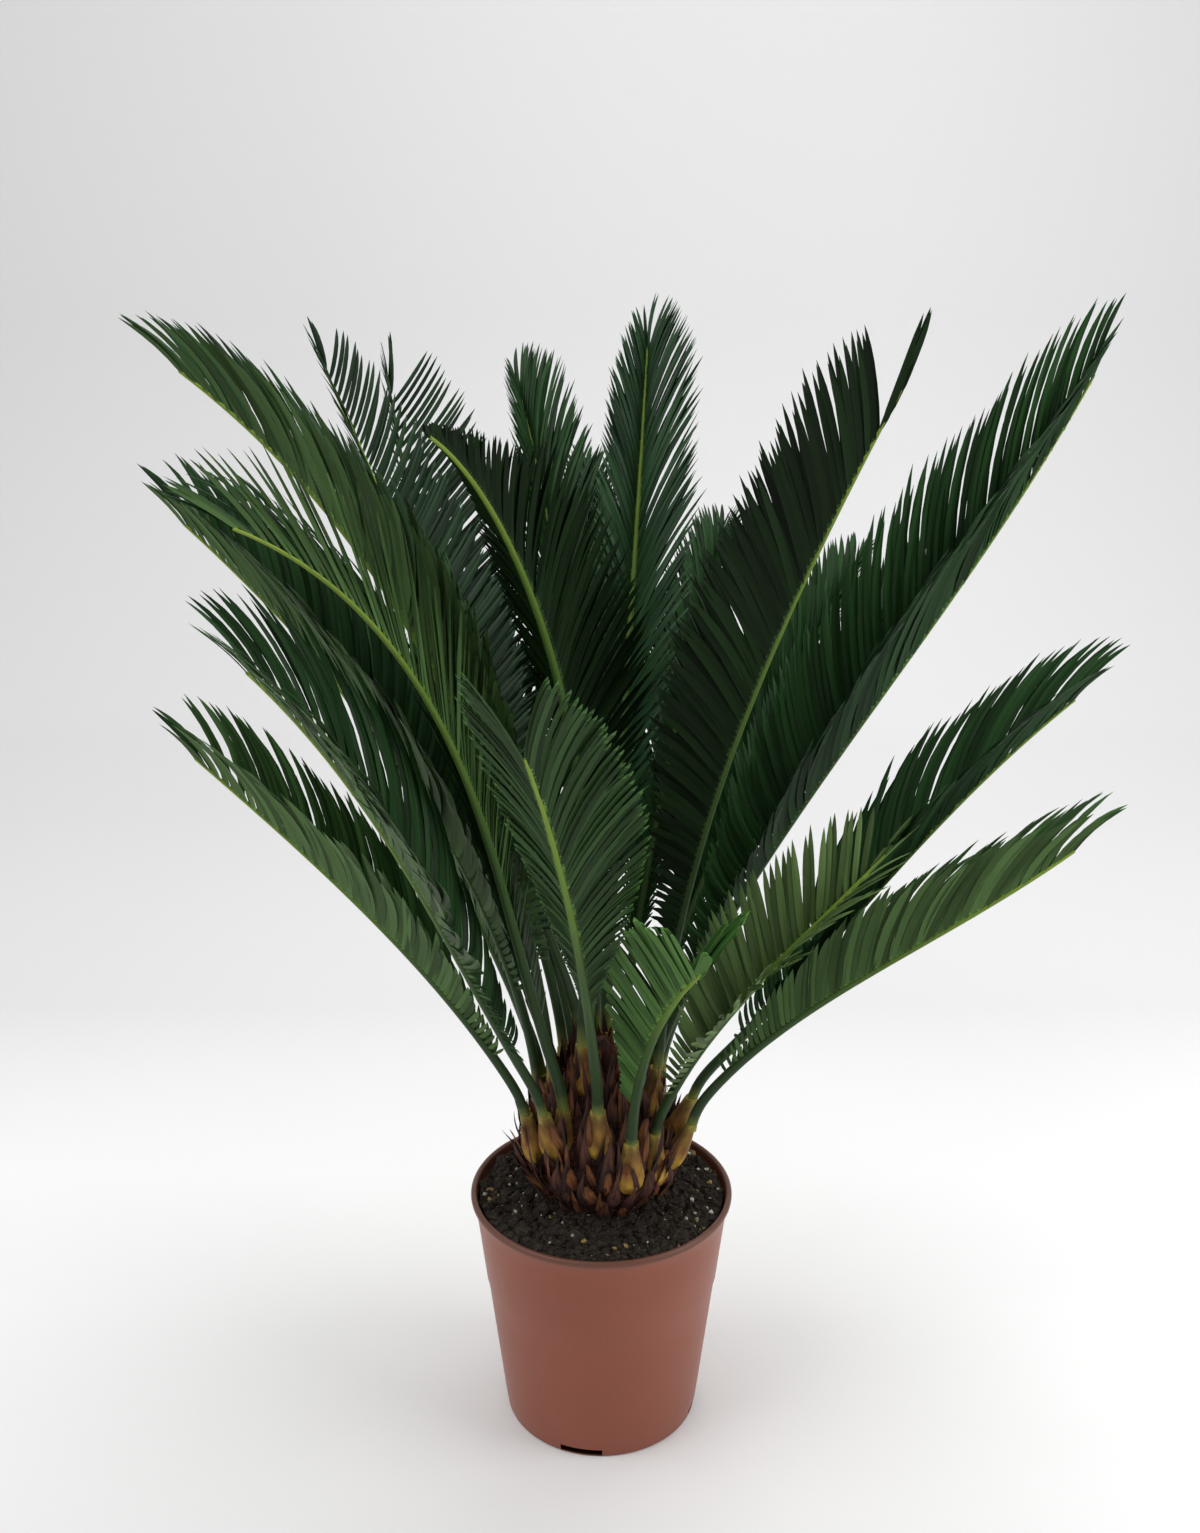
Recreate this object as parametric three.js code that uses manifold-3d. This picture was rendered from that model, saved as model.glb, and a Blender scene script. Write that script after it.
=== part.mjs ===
// A potted sago palm: a round nursery pot, the soil in it, a scaly trunk and a crown of stiff
// feather fronds. Millimetres, +Z up, origin at the centre of the pot's flat underside.

import * as THREE from 'three';
import { mergeVertices } from 'three/addons/utils/BufferGeometryUtils.js';
import Module from 'manifold-3d';

const wasm = await Module();
wasm.setup();

// ---------------------------------------------------------------- driving dimensions

const CLEARANCE = 0.3;

const POT = {
  height: 180,
  rimRadius: 95,
  footRadius: 71,
  wall: 2.6,
  floor: 8,
  collarHeight: 10,
  collarDepth: 3,
  rounding: 2,
  notchWidth: 31,
  notchHeight: 5,
  notchDepth: 12,
  notchCount: 4,
  notchHeading: 258,
  sides: 40,
};

const SOIL = {
  level: 172,
  seatRadius: 51,
  mound: 3.5,
  sag: 2,
  lump: 1.2,
};

const TRUNK = {
  foot: SOIL.level + CLEARANCE,
  footRadius: 47,
  bellyRadius: 56,
  bellyHeight: 46,
  top: 300,
  topRadius: 5,
  shoulderCurve: 1.15,
  sides: 20,
  levels: 6,
};

const LEAF_BASE = {
  footRadius: 12,
  topRadius: 6.2,
  drop: 34,
  sides: 6,
};

const SCALE = {
  rows: 4,
  perRow: 8,
  length: 24,
  shortest: 0.8,
  longest: 1.2,
  halfWidth: 7.5,
  topHalfWidth: 4.9,
  tipHalfWidth: 1,
  lean: 10,
  topLean: 6,
  rootDepth: 5,
  rootDrop: 6,
  footMargin: 12,
  topMargin: 16,
  headingSpread: 14,
};

const FROND = {
  pitch: 16,
  petioleShare: 0.17,
  petioleSteps: 5,
  footHalfWidth: 4.2,
  tipHalfWidth: 1.3,
  footKeel: 5,
  tipKeel: 1.6,
  footEdge: 3.4,
  tipEdge: 1.3,
  footBend: 0.12,
  footRise: 85,
  walkSteps: 60,
  socketShare: 0.2,
  socketSteps: 6,
  guardPieces: 24,
};

// Leaflets stand wide at the foot of a blade and close up towards its tip, and they are short at
// its foot, full in its middle and shorter again at its tip. All shares are of the blade's length.
const LEAFLET = {
  footAngle: 84,
  angleCurve: 0.6,
  footShare: 0.2,
  fullFrom: 0.5,
  taperFrom: 0.7,
  tipShare: 0.4,
  tipEdge: 1.1,
  cuts: [1, 0.8, 0.6, 0.4],
};

// Each frond: where its stalk leaves the trunk (heading in degrees from +X, radius, height), its
// length, the stalk's slope in degrees at its foot, middle and tip, how far its heading turns on
// the way, how far the blade is rolled, its leaflets' length, how far they rise into a V, their
// angle to the stalk at its tip and, where it isn't the usual one, the share that is bare stalk.
const FRONDS = [
  ['frond_front', 267, 46, 263, 383, [55, 58, 52], -14, 14, 102, 8, 15, 0.33],
  ['frond_front_young', 292, 54, 241, 238, [87, 53, 37], -8, 0, 72, 44, 40],
  ['frond_front_right', 318, 49, 238, 276, [70, 54, 47], 50, -41, 70, 48, 36],
  ['frond_front_left_arching', 232, 21, 297, 544, [102, 66, 18], 26, -22, 79, 42, 16],
  ['frond_left_front_upper', 230, 40, 255, 508, [65, 70, 25], -12, -65, 111, 52, 22],
  ['frond_left_front_lower', 225, 55, 256, 415, [58, 62, 47], -5, 37, 116, 19, 9],
  ['frond_left_low', 204, 57, 247, 353, [65, 52, 44], -22, 8, 93, 22, 26],
  ['frond_left_top', 190, 34, 270, 554, [84, 68, 39], 1, -2, 106, 32, 17],
  ['frond_left_middle', 178, 44, 256, 474, [83, 60, 44], 2, 15, 110, 24, 19],
  ['frond_right_low', 336, 68, 243, 339, [62, 39, 41], 17, 17, 97, 36, 21],
  ['frond_right_middle', 348, 64, 255, 391, [48, 54, 44], 1, -17, 106, 17, 10],
  ['frond_right_upright', 350, 39, 275, 500, [87, 72, 64], 1, -1, 101, 56, 36],
  ['frond_right_top', 15, 39, 264, 575, [67, 54, 62], -2, -21, 128, 42, 10],
  ['frond_back_tall_right', 83, 25, 287, 564, [63, 54, 56], 1, -1, 101, 43, 20],
  ['frond_back_tall_left', 96, 36, 278, 589, [60, 49, 33], 8, 0, 106, 48, 12],
  ['frond_back_left_inner', 120, 28, 283, 563, [42, 50, 72], -2, -25, 110, 34, 18],
  ['frond_back_left_outer', 132, 40, 271, 555, [72, 60, 56], 6, -12, 90, 22, 10],
  ['frond_back_middle', 92, 46, 262, 500, [62, 48, 40], 0, 0, 95, 40, 20],
  ['frond_back_right_middle', 73, 46, 260, 450, [60, 47, 38], 0, 0, 95, 40, 20],
  ['frond_back_right_low', 52, 50, 256, 430, [60, 48, 38], 0, 0, 95, 40, 20],
  ['frond_right_rear', 38, 54, 254, 420, [64, 52, 42], 0, 0, 95, 40, 20],
  ['frond_back_low', 112, 56, 252, 420, [56, 44, 34], -3, 0, 95, 40, 20],
  ['frond_back_left_low', 128, 58, 248, 380, [58, 46, 36], 0, 0, 90, 40, 20],
  ['frond_left_rear_low', 150, 52, 256, 400, [68, 58, 48], 0, 0, 95, 40, 20],
  ['frond_left_rear', 165, 43, 260, 450, [70, 59, 44], 0, 0, 95, 40, 20],
].map(([name, heading, radius, height, length, slopes, turn, roll, ...blade]) => {
  const [leaflet, vee, tipAngle, petiole = FROND.petioleShare] = blade;
  return { name, heading, radius, height, length, slopes, turn, roll, leaflet, vee, tipAngle, petiole };
});

const MATERIALS = {
  pot: new THREE.MeshStandardMaterial({ color: 0x8a5a4c, roughness: 0.55, metalness: 0 }),
  soil: new THREE.MeshStandardMaterial({ color: 0x1d1815, roughness: 0.95, metalness: 0 }),
  trunk: new THREE.MeshStandardMaterial({ color: 0x6b4426, roughness: 0.9, metalness: 0 }),
};
const FROND_COLOUR = 0x24452a;
const FROND_ROUGHNESS = 0.4;

// ---------------------------------------------------------------- small helpers

const radians = THREE.MathUtils.degToRad;
const mix = THREE.MathUtils.lerp;
const UP = new THREE.Vector3(0, 0, 1);
const WELD_DISTANCE = 1e-4;

// A repeatable random number between 0 and 1 for each whole number given.
function scatter(seed) {
  return THREE.MathUtils.seededRandom(seed + 1);
}

// The point at a heading in degrees, a radius and a height.
function polar(heading, radius, height) {
  const angle = radians(heading);
  return new THREE.Vector3(radius * Math.cos(angle), radius * Math.sin(angle), height);
}

// The geometry as bare positions, with the corners that meet made one.
function welded(geometry) {
  const bare = geometry.clone();
  bare.deleteAttribute('normal');
  bare.deleteAttribute('uv');
  return mergeVertices(bare, WELD_DISTANCE);
}

function toManifold(geometry) {
  const merged = welded(geometry);
  return new wasm.Manifold(new wasm.Mesh({
    numProp: 3,
    vertProperties: Float32Array.from(merged.attributes.position.array),
    triVerts: Uint32Array.from(merged.index.array),
  }));
}

// The solid's largest piece as a geometry, without the scraps that a cut can leave.
function toGeometry(solid) {
  const pieces = solid.decompose();
  const largest = pieces.reduce((best, piece) => (piece.volume() > best.volume() ? piece : best));
  const mesh = largest.getMesh();
  const geometry = new THREE.BufferGeometry();
  geometry.setAttribute('position', new THREE.BufferAttribute(Float32Array.from(mesh.vertProperties), 3));
  geometry.setIndex(new THREE.BufferAttribute(Uint32Array.from(mesh.triVerts), 1));
  geometry.computeVertexNormals();
  return geometry;
}

function fromFaces(points, faces) {
  const geometry = new THREE.BufferGeometry();
  geometry.setAttribute('position', new THREE.Float32BufferAttribute(points.flatMap((p) => p.toArray()), 3));
  geometry.setIndex(faces);
  geometry.computeVertexNormals();
  return geometry;
}

// A closed solid through rings of points, each ring in the same order.
function loft(rings) {
  const count = rings[0].length;
  const faces = [];
  for (let ring = 0; ring < rings.length - 1; ring += 1) {
    for (let k = 0; k < count; k += 1) {
      const here = ring * count + k;
      const next = ring * count + ((k + 1) % count);
      faces.push(here, next, next + count, here, next + count, here + count);
    }
  }
  const last = (rings.length - 1) * count;
  for (let k = 1; k < count - 1; k += 1) {
    faces.push(0, k + 1, k, last, last + k, last + k + 1);
  }
  return fromFaces(rings.flat(), faces);
}

// A flat ring of points round a centre, facing along a direction.
function ringAround(centre, along, radius, sides) {
  const side = new THREE.Vector3().crossVectors(along, polar(0, 1, 0)).normalize();
  const front = new THREE.Vector3().crossVectors(along, side).normalize();
  return Array.from({ length: sides }, (_, k) => {
    const angle = (2 * Math.PI * k) / sides;
    return centre.clone()
      .addScaledVector(side, radius * Math.cos(angle))
      .addScaledVector(front, radius * Math.sin(angle));
  });
}

// A solid of revolution about Z from a profile of [radius, height] pairs that starts and ends on it.
function turned(profile, sides) {
  const geometry = new THREE.LatheGeometry(profile.map(([r, z]) => new THREE.Vector2(r, z)), sides);
  return geometry.rotateX(Math.PI / 2);
}

// ---------------------------------------------------------------- pot and soil

// The pot's outer radius at a height, on its straight tapering wall.
function potRadius(height) {
  return mix(POT.footRadius, POT.rimRadius - POT.collarDepth, height / POT.height);
}

function makePot() {
  const collarFoot = POT.height - POT.collarHeight;
  const lip = POT.rimRadius;
  const innerLip = potRadius(POT.height) - POT.wall / 2;
  const profile = [
    [0, 0],
    [POT.footRadius - POT.rounding, 0],
    [potRadius(POT.rounding), POT.rounding],
    [potRadius(collarFoot - POT.rounding), collarFoot - POT.rounding],
    [lip - POT.rounding / 2, collarFoot + POT.rounding],
    [lip, collarFoot + 2 * POT.rounding],
    [lip, POT.height - POT.rounding],
    [lip - POT.rounding / 2, POT.height],
    [innerLip, POT.height],
    [innerLip - POT.wall, collarFoot],
    [potRadius(POT.floor) - POT.wall, POT.floor],
    [0, POT.floor],
  ];
  let pot = toManifold(turned(profile, POT.sides));
  for (let k = 0; k < POT.notchCount; k += 1) {
    const heading = POT.notchHeading + (360 * k) / POT.notchCount;
    const reach = POT.footRadius - POT.notchDepth / 2;
    const notch = new THREE.BoxGeometry(POT.notchDepth * 2, POT.notchWidth, POT.notchHeight * 2);
    notch.translate(reach + POT.notchDepth / 2, 0, 0);
    notch.rotateZ(radians(heading));
    pot = pot.subtract(toManifold(notch));
  }
  return toGeometry(pot);
}

// Soil fills the pot up to below the rim, with a flat seat for the trunk and a low lumpy mound.
function makeSoil() {
  const wallRadius = (height) => potRadius(height) - POT.wall - 2 * CLEARANCE;
  const floor = POT.floor + CLEARANCE;
  const edge = SOIL.level - SOIL.sag;
  const shoulder = mix(SOIL.seatRadius, wallRadius(edge), 0.5);
  const profile = [
    [0, floor],
    [wallRadius(floor), floor],
    [wallRadius(edge), edge],
    [shoulder, SOIL.level],
    [SOIL.seatRadius + CLEARANCE, SOIL.level + SOIL.mound],
    [SOIL.seatRadius, SOIL.level],
    [0, SOIL.level],
  ];
  const soil = welded(turned(profile, POT.sides));
  const places = soil.attributes.position;
  for (let i = 0; i < places.count; i += 1) {
    const radius = Math.hypot(places.getX(i), places.getY(i));
    const onMound = radius > SOIL.seatRadius + CLEARANCE / 2 && places.getZ(i) > edge - SOIL.lump;
    if (onMound) {
      places.setZ(i, places.getZ(i) + SOIL.lump * (scatter(i) - 0.5));
    }
  }
  return soil;
}

// ---------------------------------------------------------------- frond stalks

// The middle line of a frond's stalk: it leaves the trunk almost upright, bends outward at once,
// and then arches evenly through its three slopes.
class Stalk {
  constructor(frond) {
    this.frond = frond;
    this.step = frond.length / FROND.walkSteps;
    this.points = [polar(frond.heading, frond.radius, frond.height)];
    for (let k = 0; k < FROND.walkSteps; k += 1) {
      const along = this.alongAt((k + 0.5) / FROND.walkSteps);
      this.points.push(this.points[k].clone().addScaledVector(along, this.step));
    }
  }

  headingAt(t) {
    return radians(this.frond.heading + this.frond.turn * t);
  }

  // The stalk's direction at a share t of its length.
  alongAt(t) {
    const [foot, middle, tip] = this.frond.slopes;
    const arch = foot * (1 - t) * (1 - 2 * t) + middle * 4 * t * (1 - t) + tip * t * (2 * t - 1);
    const bend = Math.max(0, 1 - t / FROND.footBend) ** 2;
    const slope = radians(mix(arch, FROND.footRise, bend));
    const heading = this.headingAt(t);
    const out = Math.cos(slope);
    return new THREE.Vector3(out * Math.cos(heading), out * Math.sin(heading), Math.sin(slope));
  }

  pointAt(t) {
    const place = t * FROND.walkSteps;
    const k = Math.min(Math.floor(place), FROND.walkSteps - 1);
    return this.points[k].clone().lerp(this.points[k + 1], place - k);
  }

  // The blade's own directions at t: along the stalk, out to its right side, and up from its face.
  axesAt(t) {
    const along = this.alongAt(t);
    const heading = this.headingAt(t);
    const right = new THREE.Vector3(Math.sin(heading), -Math.cos(heading), 0);
    const face = new THREE.Vector3().crossVectors(right, along);
    const roll = radians(this.frond.roll);
    const side = right.clone().multiplyScalar(Math.cos(roll)).addScaledVector(face, Math.sin(roll));
    return { along, side, face: new THREE.Vector3().crossVectors(side, along) };
  }

  // The stalk's section at t: a flat top, two side edges that carry leaflets, and a keel below.
  // Its corners run right top, right bottom, keel, left bottom, left top, seen along the stalk.
  sectionAt(t, extra = 0) {
    const centre = this.pointAt(t);
    const { side, face } = this.axesAt(t);
    const half = mix(FROND.footHalfWidth, FROND.tipHalfWidth, t) + extra;
    const keel = mix(FROND.footKeel, FROND.tipKeel, t) + extra;
    const edge = mix(FROND.footEdge, FROND.tipEdge, t) / 2 + extra;
    const corners = [[half, edge], [half, -edge], [0, -keel], [-half, -edge], [-half, edge]];
    return corners.map(([across, up]) => (
      centre.clone().addScaledVector(side, across).addScaledVector(face, up)
    ));
  }

  // The shares of the length where the section is set: the bare petiole, then one per leaflet.
  stations() {
    const blade = this.frond.length * (1 - this.frond.petiole);
    const count = Math.round(blade / FROND.pitch);
    const petiole = Array.from({ length: FROND.petioleSteps }, (_, k) => (
      (this.frond.petiole * k) / FROND.petioleSteps
    ));
    const ribs = Array.from({ length: count + 1 }, (_, k) => (
      mix(this.frond.petiole, 1, k / count)
    ));
    return [...petiole, ...ribs];
  }
}

// ---------------------------------------------------------------- leaflets

// The share of the blade's length at a share of the whole frond's.
function bladeShare(frond, t) {
  return (t - frond.petiole) / (1 - frond.petiole);
}

// A leaflet's angle to the stalk at a share of the blade's length.
function leafletAngle(frond, share) {
  return radians(mix(LEAFLET.footAngle, frond.tipAngle, share ** LEAFLET.angleCurve));
}

function leafletLength(frond, share) {
  const swell = mix(LEAFLET.footShare, 1, THREE.MathUtils.smoothstep(share, 0, LEAFLET.fullFrom));
  const beyond = Math.max(0, (share - LEAFLET.taperFrom) / (1 - LEAFLET.taperFrom));
  return frond.leaflet * swell * mix(1, LEAFLET.tipShare, beyond ** 2);
}

// The tip of a leaflet whose root lies between two stations, on one side (+1 right, -1 left).
function leafletTip(stalk, t, side, length) {
  const share = bladeShare(stalk.frond, t);
  const axes = stalk.axesAt(t);
  const vee = radians(stalk.frond.vee);
  const out = axes.side.clone().multiplyScalar(side * Math.cos(vee))
    .addScaledVector(axes.face, Math.sin(vee));
  const angle = leafletAngle(stalk.frond, share);
  const direction = axes.along.clone().multiplyScalar(Math.cos(angle))
    .addScaledVector(out, Math.sin(angle));
  const normal = axes.side.clone().multiplyScalar(-side * Math.sin(vee))
    .addScaledVector(axes.face, Math.cos(vee));
  return { point: stalk.pointAt(t).addScaledVector(direction, length), normal };
}

// ---------------------------------------------------------------- keeping blades apart

// A thin facet of two or three points, with the distance that others must keep from it.
function facet(points, reach) {
  const edges = points.length === 3
    ? points.map((point, k) => new THREE.Line3(point, points[(k + 1) % 3]))
    : [new THREE.Line3(points[0], points[1])];
  const triangle = points.length === 3 ? new THREE.Triangle(...points) : null;
  const box = new THREE.Box3().setFromPoints(points).expandByScalar(reach);
  return { points, edges, triangle, box, reach };
}

function edgeCrosses(edge, triangle) {
  const ray = new THREE.Ray(edge.start, edge.delta(new THREE.Vector3()).normalize());
  const hit = ray.intersectTriangle(triangle.a, triangle.b, triangle.c, false, new THREE.Vector3());
  return hit !== null && hit.distanceTo(edge.start) <= edge.distance();
}

function facetsTouch(one, other) {
  if (!one.box.intersectsBox(other.box)) {
    return false;
  }
  const least = one.reach + other.reach;
  const near = one.edges.some((a) => other.edges.some((b) => a.distanceSqToLine3(b) < least * least));
  if (near) {
    return true;
  }
  const nearest = new THREE.Vector3();
  return [[one, other], [other, one]].some(([a, b]) => b.triangle !== null && (
    a.edges.some((edge) => edgeCrosses(edge, b.triangle))
    || a.points.some((p) => b.triangle.closestPointToPoint(p, nearest).distanceTo(p) < least)
  ));
}

// A stalk as short lengths, each with the room that its section takes.
function stalkFacets(stalk) {
  const pieces = FROND.guardPieces;
  return Array.from({ length: pieces }, (_, k) => {
    const from = k / pieces;
    const reach = mix(FROND.footKeel, FROND.tipKeel, from) + CLEARANCE;
    return facet([stalk.pointAt(from), stalk.pointAt((k + 1) / pieces)], reach);
  });
}

// ---------------------------------------------------------------- fronds

const RIGHT_EDGE = 0;
const LEFT_EDGE = 3;
const SECTION_CORNERS = 5;

// The room that a leaflet needs: its flat wedge from the two stations at its root to its tip.
function leafletFacet(stalk, from, to, side, tip) {
  const outward = (t) => stalk.pointAt(t)
    .addScaledVector(stalk.axesAt(t).side, side * mix(FROND.footHalfWidth, FROND.tipHalfWidth, t));
  return facet([outward(from), outward(to), tip], LEAFLET.tipEdge + CLEARANCE / 2);
}

// One leaflet, shortened until it keeps clear of everything already there, or null.
function growLeaflet(stalk, from, to, side, taken) {
  const middle = (from + to) / 2;
  const share = bladeShare(stalk.frond, middle);
  const full = leafletLength(stalk.frond, share);
  for (const cut of LEAFLET.cuts) {
    const tip = leafletTip(stalk, middle, side, full * cut);
    const room = leafletFacet(stalk, from, to, side, tip.point);
    if (!taken.some((other) => facetsTouch(room, other))) {
      return { tip, room };
    }
  }
  return null;
}

// A frond is one closed blade: the stalk, with a pointed wedge on each side from every station to
// the next, so that the outline is cut to the rib between the leaflets.
function makeFrond(stalk, taken) {
  const stations = stalk.stations();
  const points = stations.flatMap((t) => stalk.sectionAt(t));
  const faces = [];
  const rooms = [];
  const quad = (a, b, c, d) => faces.push(a, b, c, a, c, d);
  for (let j = 0; j < stations.length - 1; j += 1) {
    for (let k = 0; k < SECTION_CORNERS; k += 1) {
      const a = j * SECTION_CORNERS + k;
      const b = j * SECTION_CORNERS + ((k + 1) % SECTION_CORNERS);
      const c = b + SECTION_CORNERS;
      const d = a + SECTION_CORNERS;
      const carriesLeaflet = (k === RIGHT_EDGE || k === LEFT_EDGE) && j >= FROND.petioleSteps;
      const side = k === RIGHT_EDGE ? 1 : -1;
      const leaflet = carriesLeaflet
        ? growLeaflet(stalk, stations[j], stations[j + 1], side, taken)
        : null;
      if (leaflet) {
        const { point, normal } = leaflet.tip;
        const half = LEAFLET.tipEdge / 2;
        const tipA = points.push(point.clone().addScaledVector(normal, side * half)) - 1;
        const tipB = points.push(point.clone().addScaledVector(normal, -side * half)) - 1;
        quad(a, b, tipB, tipA);
        faces.push(b, c, tipB);
        quad(c, d, tipA, tipB);
        faces.push(d, a, tipA);
        rooms.push(leaflet.room);
      } else {
        quad(a, b, c, d);
      }
    }
  }
  const last = (stations.length - 1) * SECTION_CORNERS;
  for (let k = 1; k < SECTION_CORNERS - 1; k += 1) {
    faces.push(0, k + 1, k, last, last + k, last + k + 1);
  }
  return { geometry: fromFaces(points, faces), rooms };
}

// ---------------------------------------------------------------- trunk

// The trunk's radius at a height: a foot, a wide belly and a rounded top.
function trunkRadius(height) {
  const belly = TRUNK.foot + TRUNK.bellyHeight;
  if (height < belly) {
    const share = (height - TRUNK.foot) / TRUNK.bellyHeight;
    return mix(TRUNK.footRadius, TRUNK.bellyRadius, Math.sin((share * Math.PI) / 2));
  }
  const share = (height - belly) / (TRUNK.top - belly);
  return mix(TRUNK.bellyRadius, TRUNK.topRadius, share ** TRUNK.shoulderCurve);
}

// A leaf base rises out of the trunk to the foot of a stalk and ends just clear of it.
function makeLeafBase(stalk) {
  const top = stalk.pointAt(0);
  const along = stalk.alongAt(0);
  const root = polar(
    stalk.frond.heading,
    Math.min(stalk.frond.radius - LEAF_BASE.footRadius / 2, TRUNK.bellyRadius - LEAF_BASE.footRadius),
    stalk.frond.height - LEAF_BASE.drop,
  );
  const cap = top.clone().addScaledVector(along, -CLEARANCE);
  return toManifold(loft([
    ringAround(root, UP, LEAF_BASE.footRadius, LEAF_BASE.sides),
    ringAround(cap, along, LEAF_BASE.topRadius, LEAF_BASE.sides),
  ]));
}

// A dry scale: a pointed three-sided spike that leans up and out of the trunk.
function makeScale(row, k) {
  const share = (row + 0.5) / SCALE.rows;
  const height = mix(TRUNK.foot + SCALE.footMargin, TRUNK.top - SCALE.topMargin, share);
  const seed = row * SCALE.perRow + k;
  const turn = SCALE.headingSpread * scatter(seed);
  const heading = (360 * (k + (row % 2) / 2)) / SCALE.perRow + turn;
  const outward = polar(heading, 1, 0);
  const length = SCALE.length * mix(SCALE.shortest, SCALE.longest, scatter(-seed));
  const root = polar(heading, trunkRadius(height) - SCALE.rootDepth, height - SCALE.rootDrop);
  const tip = root.clone()
    .addScaledVector(UP, length)
    .addScaledVector(outward, mix(SCALE.lean, SCALE.topLean, share));
  const across = new THREE.Vector3().crossVectors(UP, outward);
  const ring = (centre, half) => [
    centre.clone().addScaledVector(outward, half / 2),
    centre.clone().addScaledVector(across, half),
    centre.clone().addScaledVector(across, -half),
  ];
  const footHalf = mix(SCALE.halfWidth, SCALE.topHalfWidth, share);
  return toManifold(loft([ring(root, footHalf), ring(tip, SCALE.tipHalfWidth)]));
}

// The foot of a stalk with clear room all round it, to cut out of the trunk.
function stalkSocket(stalk) {
  const rings = Array.from({ length: FROND.socketSteps + 1 }, (_, k) => (
    stalk.sectionAt((FROND.socketShare * k) / FROND.socketSteps, 2 * CLEARANCE)
  ));
  const back = stalk.alongAt(0).multiplyScalar(-CLEARANCE);
  rings[0].forEach((corner) => corner.add(back));
  return toManifold(loft(rings));
}

function makeTrunk(stalks) {
  const profile = [[0, TRUNK.foot]];
  for (let k = 0; k <= TRUNK.levels; k += 1) {
    const height = mix(TRUNK.foot, TRUNK.top, k / TRUNK.levels);
    profile.push([trunkRadius(height), height]);
  }
  profile.push([0, TRUNK.top]);
  let trunk = toManifold(turned(profile, TRUNK.sides));
  for (const stalk of stalks) {
    trunk = trunk.add(makeLeafBase(stalk));
  }
  for (let row = 0; row < SCALE.rows; row += 1) {
    for (let k = 0; k < SCALE.perRow; k += 1) {
      trunk = trunk.add(makeScale(row, k));
    }
  }
  for (const stalk of stalks) {
    trunk = trunk.subtract(stalkSocket(stalk));
  }
  return toGeometry(trunk);
}

// ---------------------------------------------------------------- the whole plant

function named(name, geometry, material) {
  const mesh = new THREE.Mesh(geometry, material);
  mesh.name = name;
  return mesh;
}

function makePlant() {
  const plant = new THREE.Group();
  const stalks = FRONDS.map((frond) => new Stalk(frond));
  plant.add(named('pot', makePot(), MATERIALS.pot));
  plant.add(named('soil', makeSoil(), MATERIALS.soil));
  plant.add(named('trunk', makeTrunk(stalks), MATERIALS.trunk));
  const bare = stalks.map(stalkFacets);
  const grown = stalks.map(() => []);
  stalks.forEach((stalk, k) => {
    const taken = [...bare, ...grown].flat().filter((other) => !bare[k].includes(other));
    const { geometry, rooms } = makeFrond(stalk, taken);
    grown[k] = rooms;
    const material = new THREE.MeshStandardMaterial({ color: FROND_COLOUR, roughness: FROND_ROUGHNESS });
    plant.add(named(stalk.frond.name, geometry, material));
  });
  return plant;
}

export default makePlant();
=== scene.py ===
"""Dress the potted sago palm: nursery pot, soil, scaly trunk and a crown of feather fronds.

Metres, +Z up, origin at the centre of the pot's flat underside. Every piece is grown by the
same rules as the solid it stands for, carried on to finer leaflets, scales and crumbs.
"""
import logging
import math
from dataclasses import dataclass, field
from enum import Enum
from typing import Sequence

import bmesh
import bpy
import numpy as np
from mathutils import Matrix, Vector, noise


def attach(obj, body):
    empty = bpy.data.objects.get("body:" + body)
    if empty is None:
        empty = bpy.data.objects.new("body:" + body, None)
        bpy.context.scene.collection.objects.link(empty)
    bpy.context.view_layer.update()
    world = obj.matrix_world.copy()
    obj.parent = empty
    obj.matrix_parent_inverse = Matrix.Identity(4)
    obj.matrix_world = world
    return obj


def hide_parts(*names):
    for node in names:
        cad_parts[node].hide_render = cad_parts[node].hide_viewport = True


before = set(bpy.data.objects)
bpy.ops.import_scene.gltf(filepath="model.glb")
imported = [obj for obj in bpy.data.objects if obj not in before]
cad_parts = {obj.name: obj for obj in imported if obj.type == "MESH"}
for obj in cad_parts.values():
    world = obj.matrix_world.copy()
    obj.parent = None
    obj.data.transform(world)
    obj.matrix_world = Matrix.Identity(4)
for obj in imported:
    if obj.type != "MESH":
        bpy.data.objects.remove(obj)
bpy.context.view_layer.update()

LOG = logging.getLogger("sago_palm")
ROOT_BODY = "root"
UV_NAME = "UVMap"
UP = np.array([0.0, 0.0, 1.0])
BLADE_SLOTS = 4
GOLDEN_ANGLE = 137.508

Colour = tuple[float, float, float]


# ------------------------------------------------------------------ small helpers


def srgb(red: int, green: int, blue: int) -> Colour:
    """Turn display values from 0 to 255 into a linear colour.

    Args:
        red: Red display value.
        green: Green display value.
        blue: Blue display value.

    Returns:
        The linear colour.
    """

    def linear(value: int) -> float:
        """Return one linear value.

        Args:
            value: The display value.

        Returns:
            The linear value.
        """
        share = value / 255.0
        return share / 12.92 if share <= 0.04045 else ((share + 0.055) / 1.055) ** 2.4

    return linear(red), linear(green), linear(blue)


def mix(low: float, high: float, share: float) -> float:
    """Return the value a share of the way from low to high."""
    return low + (high - low) * share


def polar(heading: float, radius: float, height: float) -> np.ndarray:
    """Return the point at a heading in degrees, a radius and a height."""
    angle = math.radians(heading)
    return np.array([radius * math.cos(angle), radius * math.sin(angle), height])


def unit(vectors: np.ndarray) -> np.ndarray:
    """Return the vectors with a length of one."""
    return vectors / np.linalg.norm(vectors, axis=-1, keepdims=True)


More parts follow.
